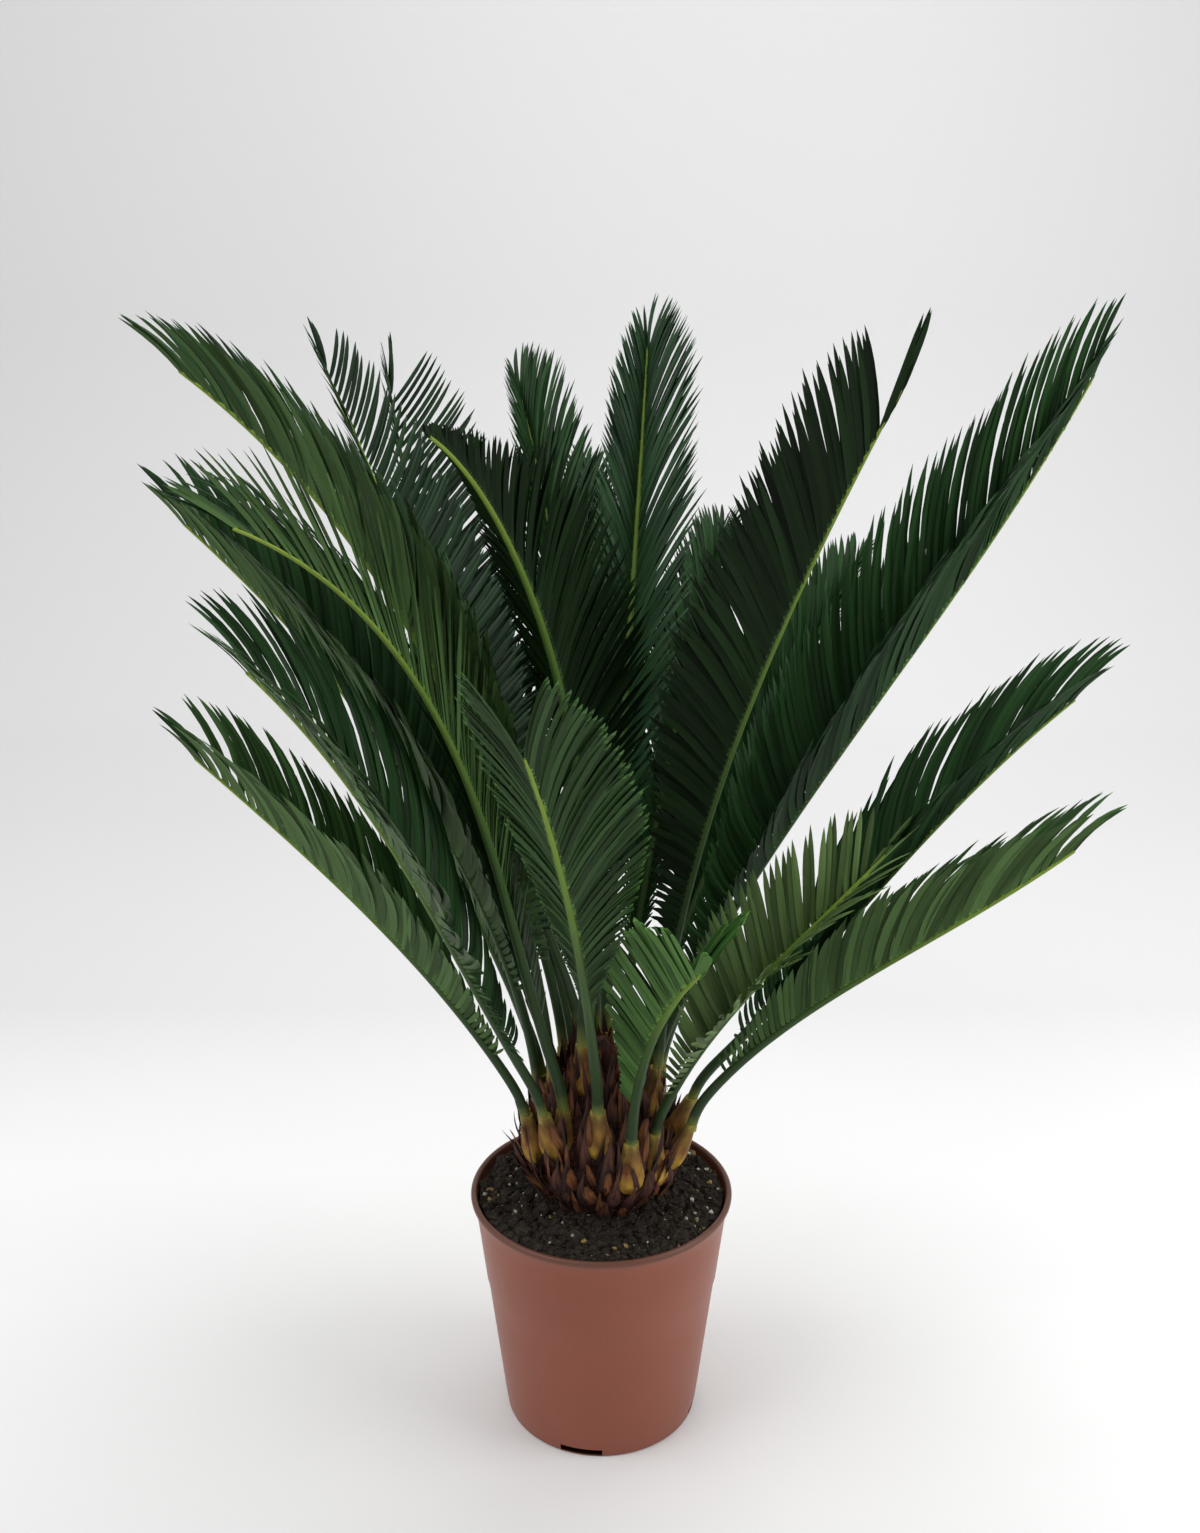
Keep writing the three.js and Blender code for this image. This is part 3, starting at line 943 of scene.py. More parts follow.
@dataclass
class Soil:
    """Dark, crumbly peat below the rim, with crumbs, perlite and wood chips in it."""

    level: float = 0.1752
    floor: float = 0.0083
    mound: float = 0.011
    mound_radius: float = 0.034
    mound_width: float = 0.018
    lump: float = 0.0040
    rings: int = 80
    steps: int = 300
    crumbs: int = 3200
    grit: int = 900
    perlite: int = 240
    chips: int = 80
    seed: int = 11

    def edge_radius(self, pot: Pot, height: float) -> float:
        """Return the soil's radius inside the pot's wall at a height."""
        return pot.wall_radius(height) - pot.wall - 0.0008

    def surface_height(self, pot: Pot, x: float, y: float) -> float:
        """Work out the height of the soil's lumpy top.

        Args:
            pot: The pot that holds it.
            x: The place across.
            y: The place toward the back.

        Returns:
            The height.
        """
        radius = math.hypot(x, y)
        beyond = max(0.0, radius - self.mound_radius) / self.mound_width
        inside = self.edge_radius(pot, self.level) - radius
        lumps = relief((x, y, 0.0), 80.0, 3.0) + 0.55 * relief((x, y, 0.0), 210.0, 8.0)
        calm = min(1.0, max(0.0, inside) / 0.008)
        return self.level + self.mound * math.exp(-(beyond**2)) + self.lump * lumps * calm

    def build(self, pot: Pot) -> list[bpy.types.Object]:
        """Build the soil and what lies on it.

        Args:
            pot: The pot that holds it.

        Returns:
            The soil, its crumbs, grit, perlite and chips.
        """
        edge = self.edge_radius(pot, self.level)
        top = [(edge * (1.0 - k / self.rings), self.level) for k in range(self.rings + 1)]
        low = [(0.0, self.floor), (self.edge_radius(pot, self.floor), self.floor)]
        bm = spun(low + [(self.edge_radius(pot, 0.16), 0.16)] + top, self.steps)
        for vert in bm.verts:
            if vert.co.z > self.level - 1e-5:
                vert.co.z = self.surface_height(pot, vert.co.x, vert.co.y)
        soil = finish_mesh(bm, "peat", 60.0)
        soil.data.materials.append(
            GrainyFinish("peat", srgb(56, 48, 40), srgb(8, 7, 6), broad=150.0).build()
        )
        kinds = (
            ("peat_crumbs", self.crumbs, (0.0008, 0.0064), 0.8, (62, 54, 45), (8, 7, 6)),
            ("peat_grit", self.grit, (0.0003, 0.0012), 0.3, (104, 90, 74), (58, 48, 40)),
            ("perlite", self.perlite, (0.0004, 0.0025), 0.2, (206, 204, 190), (120, 114, 102)),
            ("bark_chips", self.chips, (0.0012, 0.0038), 0.4, (166, 142, 92), (104, 80, 50)),
        )
        pieces = [soil]
        for k, (name, count, sizes, sink, light, dark) in enumerate(kinds):
            grains = self._scatter(pot, name, count, sizes, sink, self.seed + k)
            finish = GrainyFinish(name, srgb(*light), srgb(*dark), broad=300.0)
            grains.data.materials.append(finish.build())
            pieces.append(grains)
        return pieces

    def _scatter(
        self, pot: Pot, name: str, count: int, sizes: tuple[float, float], sink: float, seed: int
    ) -> bpy.types.Object:
        """Scatter rough grains over the soil, joined in one piece.

        Args:
            pot: The pot that holds the soil.
            name: The piece's name.
            count: How many grains.
            sizes: The smallest and largest grain's radius.
            sink: How deep a grain lies, as a share of its radius.
            seed: The seed of the scatter.

        Returns:
            The joined piece.
        """
        rng = np.random.default_rng(seed)
        pebble = bmesh.new()
        bmesh.ops.create_icosphere(pebble, subdivisions=1, radius=1.0)
        pebble.verts.index_update()
        base = np.array([vert.co[:] for vert in pebble.verts])
        faces = np.array([[vert.index for vert in face.verts] for face in pebble.faces])
        pebble.free()
        inner, outer = self.mound_radius + 0.004, self.edge_radius(pot, self.level) - 0.002
        radius = np.sqrt(rng.uniform(inner**2, outer**2, count))
        angle = rng.uniform(0.0, math.tau, count)
        size = sizes[0] + (sizes[1] - sizes[0]) * rng.random(count) ** 2.2
        points = []
        for k in range(count):
            x, y = radius[k] * math.cos(angle[k]), radius[k] * math.sin(angle[k])
            knobs = base * rng.uniform(0.65, 1.25, (len(base), 1)) * rng.uniform(0.6, 1.2, 3)
            height = self.surface_height(pot, x, y) + size[k] * (0.6 - sink)
            points.append(knobs * size[k] + np.array([x, y, height]))
        mesh = bpy.data.meshes.new(name)
        starts = np.arange(count)[:, None, None] * len(base)
        mesh.from_pydata(
            np.concatenate(points).tolist(), [], (faces[None] + starts).reshape(-1, 3).tolist()
        )
        mesh.update()
        mesh.shade_smooth()
        mesh.set_sharp_from_angle(angle=math.radians(30.0))
        return add_object(name, mesh)


# ------------------------------------------------------------------ fronds


@dataclass(frozen=True)
class LeafletRule:
    """How leaflets are set along a stalk: spacing, angle, length, width and small scatter."""

    pitch: float = 0.0049
    foot_spread: float = 0.6
    tip_spread: float = 1.5
    spread_power: int = 7
    foot_angle: float = 84.0
    angle_curve: float = 0.6
    foot_share: float = 0.2
    full_from: tuple[float, float] = (0.5, 0.5)
    taper_from: float = 0.7
    taper_curve: float = 2.0
    tip_share: float = 0.45
    half_width: float = 0.0027
    foot_width: float = 0.6
    tip_width: float = 0.66
    row_angles: tuple[float, float] = (0.0, 0.0)
    row_lengths: tuple[float, float] = (1.0, 1.0)
    row_vees: tuple[float, float] = (0.0, 0.0)
    bow: float = 0.05
    droop: float = 0.045
    droop_scatter: float = 0.015
    foot_tilt: float = 30.0
    tilt: float = 16.0
    angle_scatter: float = 1.2
    vee_scatter: float = 2.4
    twist_scatter: float = 7.0
    bundle: int = 2
    bundle_angle: float = 9.0
    cuts: tuple[float, ...] = (1.0, 0.8, 0.6, 0.4)
    stalk_room: float = 0.0035
    blunt: bool = False

    def shares(self, blade: float, start: float) -> np.ndarray:
        """Return one row's places along the blade, spaced wider toward both ends.

        Args:
            blade: The blade's length.
            start: Where the first leaflet sits, as a share of the spacing.

        Returns:
            Shares of the blade from 0 to 1.
        """
        count = round(blade / self.pitch)
        even = (np.arange(count) + start) / count
        power = self.spread_power
        wide_foot = self.foot_spread * (1.0 - (1.0 - even) ** power)
        reached = even + (wide_foot + self.tip_spread * even**power) / power
        return reached / (1.0 + (self.foot_spread + self.tip_spread) / power)

    def angle(
        self, shape: "FrondShape", share: np.ndarray, sign: np.ndarray, last: np.ndarray
    ) -> np.ndarray:
        """Return the leaflets' angle to the stalk in degrees.

        Args:
            shape: The frond's sizes.
            share: The leaflets' places along the blade.
            sign: 1 for the stalk's right row and -1 for its left one.
            last: Which leaflets belong to the closed bundle at the tip.

        Returns:
            The angles.
        """
        angle = self.foot_angle + (shape.tip_angle - self.foot_angle) * share**self.angle_curve
        angle = np.maximum(angle + np.where(sign > 0.0, *self.row_angles), 6.0)
        return np.where(last, np.minimum(angle, self.bundle_angle), angle)

    def length(self, shape: "FrondShape", share: np.ndarray, sign: np.ndarray) -> np.ndarray:
        """Return the leaflets' length.

        Args:
            shape: The frond's sizes.
            share: The leaflets' places along the blade.
            sign: 1 for the stalk's right row and -1 for its left one.

        Returns:
            The lengths.
        """
        ease = np.clip(share / np.where(sign > 0.0, *self.full_from), 0.0, 1.0)
        swell = self.foot_share + (1.0 - self.foot_share) * ease * ease * (3.0 - 2.0 * ease)
        beyond = np.maximum(0.0, (share - self.taper_from) / (1.0 - self.taper_from))
        taper = 1.0 - (1.0 - self.tip_share) * beyond**self.taper_curve
        return shape.leaflet * swell * taper * np.where(sign > 0.0, *self.row_lengths)

    def half_widths(self, share: np.ndarray) -> np.ndarray:
        """Return the leaflets' half-widths: slim at the blade's foot and toward its tip.

        Args:
            share: The leaflets' places along the blade.

        Returns:
            The half-widths.
        """
        foot = self.foot_width + (1.0 - self.foot_width) * np.clip(share / 0.25, 0.0, 1.0)
        tip = 1.0 - (1.0 - self.tip_width) * np.clip((share - 0.55) / 0.45, 0.0, 1.0)
        return self.half_width * foot * tip

    def tilts(self, share: np.ndarray) -> np.ndarray:
        """Return how far leaflets turn about their own midrib, in degrees, most at the foot."""
        return self.foot_tilt + (self.tilt - self.foot_tilt) * np.clip(share / 0.4, 0.0, 1.0)


PLAIN_RULE = LeafletRule()
FRONT_RULE = LeafletRule(
    pitch=0.0027, foot_spread=0.0, tip_spread=0.3, foot_angle=66.0, foot_share=0.03,
    full_from=(1.0, 0.5), tip_share=0.72, half_width=0.0019, tip_width=0.9,
    row_angles=(2.0, 4.0), row_lengths=(1.04, 1.0), bow=-0.04, droop=0.02, foot_tilt=8.0,
    tilt=6.0, vee_scatter=1.0, twist_scatter=3.0, bundle=0, blunt=True,
)
YOUNG_RULE = LeafletRule(
    pitch=0.0036, foot_spread=0.2, tip_spread=0.3, foot_angle=62.0, half_width=0.0030,
    tip_width=0.95, bow=0.0, droop=0.02, foot_tilt=8.0, tilt=2.0, vee_scatter=1.4, blunt=True,
)
LOOSE_RULE = LeafletRule(
    pitch=0.0050, half_width=0.0028, bow=0.0, droop=0.02, foot_tilt=12.0, tilt=6.0,
)
UPRIGHT_RULE = LeafletRule(
    pitch=0.0052, taper_from=0.8, taper_curve=1.0, tip_share=0.55, half_width=0.0028,
    tip_width=0.8, bow=-0.03, droop=0.02, foot_tilt=16.0, tilt=8.0, bundle=3,
)
CLOSED_RULE = LeafletRule(foot_angle=71.0)
ARCHING_RULE = LeafletRule(
    pitch=0.0034, tip_spread=0.4, full_from=(0.5, 0.35), taper_from=0.6, taper_curve=0.6,
    tip_share=0.16, row_lengths=(0.6, 1.3), foot_tilt=8.0, tilt=5.0, vee_scatter=1.4, bow=0.0,
)
RIGHT_RULE = LeafletRule(
    row_angles=(-8.0, 0.0), row_lengths=(0.75, 1.0), row_vees=(30.0, 0.0), foot_tilt=20.0,
)
LEFT_RULE = LeafletRule(
    row_angles=(0.0, -6.0), row_lengths=(1.0, 0.8), row_vees=(0.0, 24.0), foot_tilt=18.0,
)
BACK_RULE = LeafletRule(
    pitch=0.0045, half_width=0.0024, tip_share=0.4, row_angles=(20.0, -2.0),
    row_lengths=(0.92, 0.72), foot_tilt=8.0, tilt=4.0, bow=0.02,
)
TALL_RULE = LeafletRule(
    pitch=0.0036, tip_spread=0.5, foot_angle=64.0, taper_from=0.76, taper_curve=1.4,
    tip_share=0.44, half_width=0.0028, tip_width=0.75, row_angles=(5.0, 0.0),
    row_lengths=(1.08, 0.82), foot_tilt=6.0, tilt=3.0, bow=0.0,
)
DENSE_RULE = LeafletRule(
    pitch=0.0036, tip_spread=0.5, foot_angle=64.0, half_width=0.0028, tip_width=0.75,
    row_angles=(-4.0, -4.0), foot_tilt=6.0, tilt=3.0, bow=-0.03,
)

LEAFLET_PATTERN = BladePattern(
    places=(0.0, 0.03, 0.1, 0.25, 0.45, 0.65, 0.8, 0.92, 1.0),
    widths=(0.55, 0.68, 0.9, 1.0, 1.0, 0.95, 0.76, 0.4, 0.02),
)

BLUNT_PATTERN = BladePattern(
    places=(0.0, 0.03, 0.1, 0.3, 0.55, 0.8, 0.955, 1.0),
    widths=(0.6, 0.75, 0.95, 1.0, 1.0, 0.98, 0.8, 0.14),
)


@dataclass(frozen=True)
class FrondShape:
    """Where a frond's stalk leaves the trunk, how it arches, and how its blade is held."""

    name: str
    heading: float
    radius: float
    height: float
    length: float
    slopes: tuple[float, float, float]
    turn: float
    roll: float
    leaflet: float
    vee: float
    tip_angle: float
    tint: LeafTint = LeafTint.FULL
    petiole: float = 0.17
    rule: LeafletRule = PLAIN_RULE


def rear_frond(
    name: str,
    place: tuple[float, float, float],
    length: float,
    slopes: tuple[float, float, float],
    turn: float = 0.0,
    leaflet: float = 0.095,
) -> FrondShape:
    """Return the sizes of a back or rear frond; these are alike but for place and arch.

    Args:
        name: The frond's name.
        place: Heading, radius and height of the stalk's foot.
        length: The stalk's length.
        slopes: The stalk's slopes at its foot, middle and tip.
        turn: How far the stalk turns sideways, in degrees.
        leaflet: The longest leaflet's length.

    Returns:
        The frond's sizes.
    """
    return FrondShape(name, *place, length, slopes, turn, 0, leaflet, 40, 20, rule=DENSE_RULE)


FRONDS = (
    FrondShape(
        "frond_front", 267, 0.046, 0.263, 0.383, (55, 58, 52), -14, -4, 0.088, 22, 18,
        LeafTint.FRONT, 0.30, FRONT_RULE,
    ),
    FrondShape(
        "frond_front_young", 292, 0.054, 0.241, 0.238, (87, 53, 37), -8, 0, 0.072, 44, 40,
        LeafTint.FRESH, rule=YOUNG_RULE,
    ),
    FrondShape(
        "frond_front_right", 318, 0.049, 0.238, 0.276, (70, 54, 47), 50, -41, 0.070, 48, 36,
        LeafTint.LIT_OLIVE, rule=LOOSE_RULE,
    ),
    FrondShape(
        "frond_front_left_arching", 232, 0.021, 0.297, 0.544, (102, 66, 18), 26, -22, 0.079, 42, 16,
        LeafTint.DEEP, rule=ARCHING_RULE,
    ),
    FrondShape(
        "frond_left_front_upper", 230, 0.040, 0.255, 0.508, (65, 70, 25), -12, -45, 0.103, 66, 20,
        rule=CLOSED_RULE,
    ),
    FrondShape(
        "frond_left_front_lower", 225, 0.055, 0.256, 0.415, (58, 62, 47), -5, 37, 0.116, 19, 9,
    ),
    FrondShape(
        "frond_left_low", 204, 0.057, 0.247, 0.353, (65, 52, 44), -22, 8, 0.093, 22, 26,
        LeafTint.LIGHT, rule=LEFT_RULE,
    ),
    FrondShape("frond_left_top", 190, 0.034, 0.270, 0.554, (84, 68, 39), 1, -2, 0.106, 32, 17),
    FrondShape(
        "frond_left_middle", 178, 0.044, 0.256, 0.474, (83, 60, 44), 2, 15, 0.110, 24, 19,
        rule=LEFT_RULE,
    ),
    FrondShape(
        "frond_right_low", 336, 0.068, 0.243, 0.339, (62, 39, 41), 17, 17, 0.097, 36, 21,
        LeafTint.LIGHT, rule=RIGHT_RULE,
    ),
    FrondShape(
        "frond_right_middle", 348, 0.064, 0.255, 0.391, (48, 54, 44), 1, -17, 0.106, 17, 10,
        LeafTint.EVEN, rule=RIGHT_RULE,
    ),
    FrondShape(
        "frond_right_upright", 350, 0.039, 0.275, 0.500, (87, 72, 64), 1, -1, 0.101, 56, 36,
        LeafTint.DEEP, rule=UPRIGHT_RULE,
    ),
    FrondShape(
        "frond_right_top", 15, 0.039, 0.264, 0.575, (67, 54, 62), -2, -21, 0.128, 42, 10,
        LeafTint.EVEN, rule=RIGHT_RULE,
    ),
    FrondShape(
        "frond_back_tall_right", 83, 0.025, 0.287, 0.564, (63, 54, 56), 1, -1, 0.101, 43, 20,
        LeafTint.PALE, rule=TALL_RULE,
    ),
    FrondShape(
        "frond_back_tall_left", 96, 0.036, 0.278, 0.589, (60, 49, 33), 8, 0, 0.106, 48, 12,
        rule=TALL_RULE,
    ),
    FrondShape(
        "frond_back_left_inner", 120, 0.028, 0.283, 0.563, (42, 50, 72), -2, -25, 0.110, 34, 18,
        LeafTint.SHADED, rule=BACK_RULE,
    ),
    FrondShape(
        "frond_back_left_outer", 132, 0.040, 0.271, 0.555, (72, 60, 56), 6, -12, 0.090, 22, 10,
        LeafTint.SHADED, rule=BACK_RULE,
    ),
    rear_frond("frond_back_middle", (92, 0.046, 0.262), 0.500, (62, 48, 40)),
    rear_frond("frond_back_right_middle", (73, 0.046, 0.260), 0.450, (60, 47, 38)),
    rear_frond("frond_back_right_low", (52, 0.050, 0.256), 0.430, (60, 48, 38)),
    rear_frond("frond_right_rear", (38, 0.054, 0.254), 0.420, (64, 52, 42)),
    rear_frond("frond_back_low", (112, 0.056, 0.252), 0.420, (56, 44, 34), turn=-3),
    rear_frond("frond_back_left_low", (128, 0.058, 0.248), 0.380, (58, 46, 36), leaflet=0.090),
    rear_frond("frond_left_rear_low", (150, 0.052, 0.256), 0.400, (68, 58, 48)),
    rear_frond("frond_left_rear", (165, 0.043, 0.260), 0.450, (70, 59, 44)),
)


@dataclass(frozen=True)
class StalkSection:
    """How thick a stalk is at its foot and at its tip."""

    foot_half: float = 0.0042
    tip_half: float = 0.0009
    foot_keel: float = 0.0048
    tip_keel: float = 0.0011
    foot_crown: float = 0.0026
    tip_crown: float = 0.0007
    corners: int = 10
    stations: int = 56
    foot_bend: float = 0.12
    foot_rise: float = 85.0
    walk_steps: int = 60


class Stalk:
    """The middle line of a frond: almost upright at the trunk, bent out, then arched."""

    def __init__(self, shape: FrondShape, section: StalkSection) -> None:
        """Walk along the arch from its foot.

        Args:
            shape: The frond's sizes.
            section: The stalk's thickness and steps.
        """
        self.shape = shape
        self.section = section
        steps = section.walk_steps
        middles = (np.arange(steps) + 0.5) / steps
        moves = self.along(middles) * (shape.length / steps)
        foot = polar(shape.heading, shape.radius, shape.height)
        self.points = np.vstack([foot, foot + np.cumsum(moves, axis=0)])

    def heading(self, t: np.ndarray) -> np.ndarray:
        """Return the heading in radians at shares of the length."""
        return np.radians(self.shape.heading + self.shape.turn * t)

    def along(self, t: np.ndarray) -> np.ndarray:
        """Return the stalk's direction.

        Args:
            t: Shares of the length.

        Returns:
            The unit directions.
        """
        foot, middle, tip = self.shape.slopes
        arch = foot * (1 - t) * (1 - 2 * t) + middle * 4 * t * (1 - t) + tip * t * (2 * t - 1)
        bend = np.maximum(0.0, 1.0 - t / self.section.foot_bend) ** 2
        slope = np.radians(arch + (self.section.foot_rise - arch) * bend)
        heading = self.heading(t)
        out = np.cos(slope)
        return np.stack([out * np.cos(heading), out * np.sin(heading), np.sin(slope)], axis=-1)

    def point(self, t: np.ndarray) -> np.ndarray:
        """Return the points at shares of the length."""
        known = np.linspace(0.0, 1.0, len(self.points))
        return np.stack([np.interp(t, known, self.points[:, k]) for k in range(3)], axis=-1)

    def axes(self, t: np.ndarray) -> tuple[np.ndarray, np.ndarray, np.ndarray]:
        """Return the stalk's own axes.

        Args:
            t: Shares of the length.

        Returns:
            The directions along the stalk, to its right and up from its face.
        """
        along = self.along(t)
        heading = self.heading(t)
        right = np.stack([np.sin(heading), -np.cos(heading), np.zeros_like(heading)], axis=-1)
        face = np.cross(right, along)
        roll = math.radians(self.shape.roll)
        side = right * math.cos(roll) + face * math.sin(roll)
        return along, side, np.cross(side, along)

    def half_width(self, t: np.ndarray) -> np.ndarray:
        """Return half the stalk's width at shares of the length."""
        return self.section.foot_half + (self.section.tip_half - self.section.foot_half) * t

    def build(self, name: str) -> bpy.types.Object:
        """Build the stalk as a smooth tapering tube, flatter above than below.

        Args:
            name: The object's name.

        Returns:
            The stalk, with its UV map running from foot to tip.
        """
        section = self.section
        t = np.linspace(0.0, 1.0, section.stations)
        _, side, face = self.axes(t)
        angles = np.linspace(0.0, math.tau, section.corners, endpoint=False)
        across, up = np.cos(angles), np.sin(angles)
        crown = section.foot_crown + (section.tip_crown - section.foot_crown) * t
        keel = section.foot_keel + (section.tip_keel - section.foot_keel) * t
        high = np.where(up[None, :] > 0, crown[:, None] * up, keel[:, None] * up)
        wide = self.half_width(t)[:, None] * across[None, :]
        rings = (
            self.point(t)[:, None, :]
            + side[:, None, :] * wide[:, :, None]
            + face[:, None, :] * high[:, :, None]
        )
        bm = bmesh.new()
        rolled_tube(bm, rings)
        return finish_mesh(bm, name, 60.0)


def line_distances(
    starts: np.ndarray, ends: np.ndarray, low: np.ndarray, high: np.ndarray
) -> np.ndarray:
    """Return the least distance from each of some line pieces to a set of others.

    Args:
        starts: Where the line pieces start, n by 3.
        ends: Where they end.
        low: Where the other pieces start, m by 3.
        high: Where they end.

    Returns:
        The least distance of each of the n pieces.
    """
    u = (ends - starts)[:, None, :]
    v = (high - low)[None, :, :]
    w = starts[:, None, :] - low[None, :, :]
    a, b, c = np.sum(u * u, -1), np.sum(u * v, -1), np.sum(v * v, -1)
    d, e = np.sum(u * w, -1), np.sum(v * w, -1)
    det = np.maximum(a * c - b * b, 1e-12)
    s = np.clip((b * e - c * d) / det, 0.0, 1.0)
    t = np.clip((b * s + e) / c, 0.0, 1.0)
    s = np.clip((b * t - d) / a, 0.0, 1.0)
    gap = w + u * s[..., None] - v * t[..., None]
    return np.sqrt(np.min(np.sum(gap * gap, -1), axis=1))


class Frond:
    """One feather frond: a stalk with a row of leaflets on each side."""

    def __init__(self, shape: FrondShape, section: StalkSection) -> None:
        """Set up the frond's stalk.

        Args:
            shape: The frond's sizes.
            section: The stalk's thickness.
        """
        self.shape = shape
        self.rule = shape.rule
        self.stalk = Stalk(shape, section)

    def leaflets(self, others: Sequence[Stalk], seed: int) -> BladeBed:
        """Set every leaflet, shortened or left out where it would touch another stalk.

        Args:
            others: The other fronds' stalks.
            seed: The seed of the small scatter.

        Returns:
            The leaflets' bed.
        """
        rule, shape = self.rule, self.shape
        rng = np.random.default_rng(seed)
        blade = shape.length * (1.0 - shape.petiole)
        rows = []
        for sign, start in ((1.0, 0.25), (-1.0, 0.75)):
            share = rule.shares(blade, start)
            last = np.arange(len(share)) >= len(share) - rule.bundle
            rows.append(np.stack([share, np.full(len(share), sign), last], axis=1))
        share, sign, last = np.concatenate(rows).T
        t = shape.petiole + share * (1.0 - shape.petiole)
        along, side, face = self.stalk.axes(t)
        vee = shape.vee + np.where(sign > 0.0, *rule.row_vees)
        vee = np.radians(vee + rng.normal(0.0, rule.vee_scatter, len(t)))[:, None]
        angle = rule.angle(shape, share, sign, last > 0.5)
        angle = np.radians(angle + rng.normal(0.0, rule.angle_scatter, len(t)))[:, None]
        hand = sign[:, None]
        out = side * hand * np.cos(vee) + face * np.sin(vee)
        direction = along * np.cos(angle) + out * np.sin(angle)
        upper = face * np.cos(vee) - side * hand * np.sin(vee)
        length = rule.length(shape, share, sign) * rng.uniform(0.92, 1.0, len(t))
        middle = self.stalk.point(t)
        roots = middle + side * hand * (0.8 * self.stalk.half_width(t))[:, None]
        keep, length = self._clear(middle, direction, length, others)
        tips = middle + direction * length[:, None]
        back = unit(direction * np.cos(angle) - along)
        bow = back * (rule.bow * length)[:, None]
        tilt = -sign * np.radians(rule.tilts(share)) + rng.normal(0.0, 0.06, len(t))
        twist = np.radians(rng.normal(0.0, rule.twist_scatter, len(t)))
        half = rule.half_widths(share) * rng.uniform(0.88, 1.06, len(t))
        return BladeBed(
            roots=roots[keep],
            tips=tips[keep],
            uppers=upper[keep],
            half_widths=half[keep],
            bows=bow[keep],
            droops=(length * rng.normal(rule.droop, rule.droop_scatter, len(t)))[keep],
            tilts=tilt[keep],
            twists=twist[keep],
            tints=rng.random(len(t))[keep],
        )

    def _clear(
        self,
        middle: np.ndarray,
        direction: np.ndarray,
        length: np.ndarray,
        others: Sequence[Stalk],
    ) -> tuple[np.ndarray, np.ndarray]:
        """Shorten leaflets until they keep clear of the other stalks.

        Args:
            middle: Where each leaflet leaves the stalk.
            direction: Its direction.
            length: Its full length.
            others: The other fronds' stalks.

        Returns:
            Which leaflets are kept, and the length of each.
        """
        low = np.concatenate([stalk.points[:-1] for stalk in others])
        high = np.concatenate([stalk.points[1:] for stalk in others])
        result = np.zeros(len(length))
        for cut in self.rule.cuts:
            tips = middle + direction * (length * cut)[:, None]
            free = line_distances(middle, tips, low, high) > self.rule.stalk_room
            result = np.where((result == 0.0) & free, length * cut, result)
        return result > 0.0, np.maximum(result, 1e-4)

    def build(
        self, others: Sequence[Stalk], seed: int, look: "FrondLook"
    ) -> list[bpy.types.Object]:
        """Build and dress the frond.

        Args:
            others: The other fronds' stalks.
            seed: The seed of its small scatter.
            look: The materials of all fronds.

        Returns:
            Its stalk and its joined leaflets.
        """
        stalk = self.stalk.build(f"{self.shape.name}_stalk")
        stalk.data.materials.append(look.stalk)
        pattern = BLUNT_PATTERN if self.rule.blunt else LEAFLET_PATTERN
        leaflets = self.leaflets(others, seed).join(f"{self.shape.name}_leaflets", pattern)
        for material in look.leaf[self.shape.tint]:
            leaflets.data.materials.append(material)
        return [stalk, leaflets]


class FrondLook:
    """The materials that all fronds share."""

    def __init__(self) -> None:
        """Build the stalk's material and each tint's leaf materials."""
        self.stalk = LengthwiseFinish(
            "frond_stalk",
            stops=(
                (0.0, srgb(168, 146, 64)),
                (0.02, srgb(110, 118, 54)),
                (0.045, srgb(42, 60, 34)),
                (0.25, srgb(48, 72, 36)),
                (0.45, srgb(66, 94, 42)),
                (0.7, srgb(106, 134, 50)),
                (1.0, srgb(140, 164, 58)),
            ),
            shade=srgb(36, 58, 28),
            shade_share=0.35,
            roughness=0.5,
            specular=0.2,
        ).build()
        self.leaf = {tint: self._leaf(tint, greens) for tint, greens in GREENS.items()}

    @staticmethod
    def _leaf(tint: LeafTint, greens: LeafGreens) -> tuple[bpy.types.Material, ...]:
        """Build one tint's materials.

        Args:
            tint: The tint.
            greens: Its colours.

        Returns:
            The materials of a leaflet's upper side, underside, heel and tip, whose lighter green is
            mostly painted light shining through.
        """
        return (
            LeafFinish(f"leaf_{tint.value}_upper", greens.upper, 0.36, 0.1).build(),
            LeafFinish(f"leaf_{tint.value}_under", greens.under, 0.55, 0.1).build(),
            LeafFinish(f"leaf_{tint.value}_heel", greens.heel, 0.45, 0.2).build(),
            LeafFinish(f"leaf_{tint.value}_tip", greens.tip, 0.45, 0.16).build(),
        )


# ------------------------------------------------------------------ trunk


SCALE_PATTERN = BladePattern(
    places=(0.0, 0.12, 0.3, 0.5, 0.7, 0.87, 1.0),
    widths=(0.9, 1.0, 0.95, 0.74, 0.46, 0.2, 0.02),
    crown=0.16,
    keel=-0.1,
    edge=-0.22,
)

TORN_PATTERN = BladePattern(
    places=(0.0, 0.12, 0.3, 0.5, 0.7, 0.88, 1.0),
    widths=(0.8, 1.0, 0.86, 0.94, 0.7, 0.62, 0.24),
    crown=0.1,
    keel=-0.06,
    edge=-0.3,
)

HAIR_PATTERN = BladePattern(
    places=(0.0, 0.4, 1.0), widths=(1.0, 0.8, 0.1), crown=0.6, keel=-0.6, edge=0.0
)


def dress_alike(blades: bpy.types.Object, material: bpy.types.Material) -> None:
    """Give joined blades one material in all their slots: upper, under, heel and tip.

    Args:
        blades: The joined blades.
        material: The material.
    """
    for _ in range(BLADE_SLOTS):
        blades.data.materials.append(material)


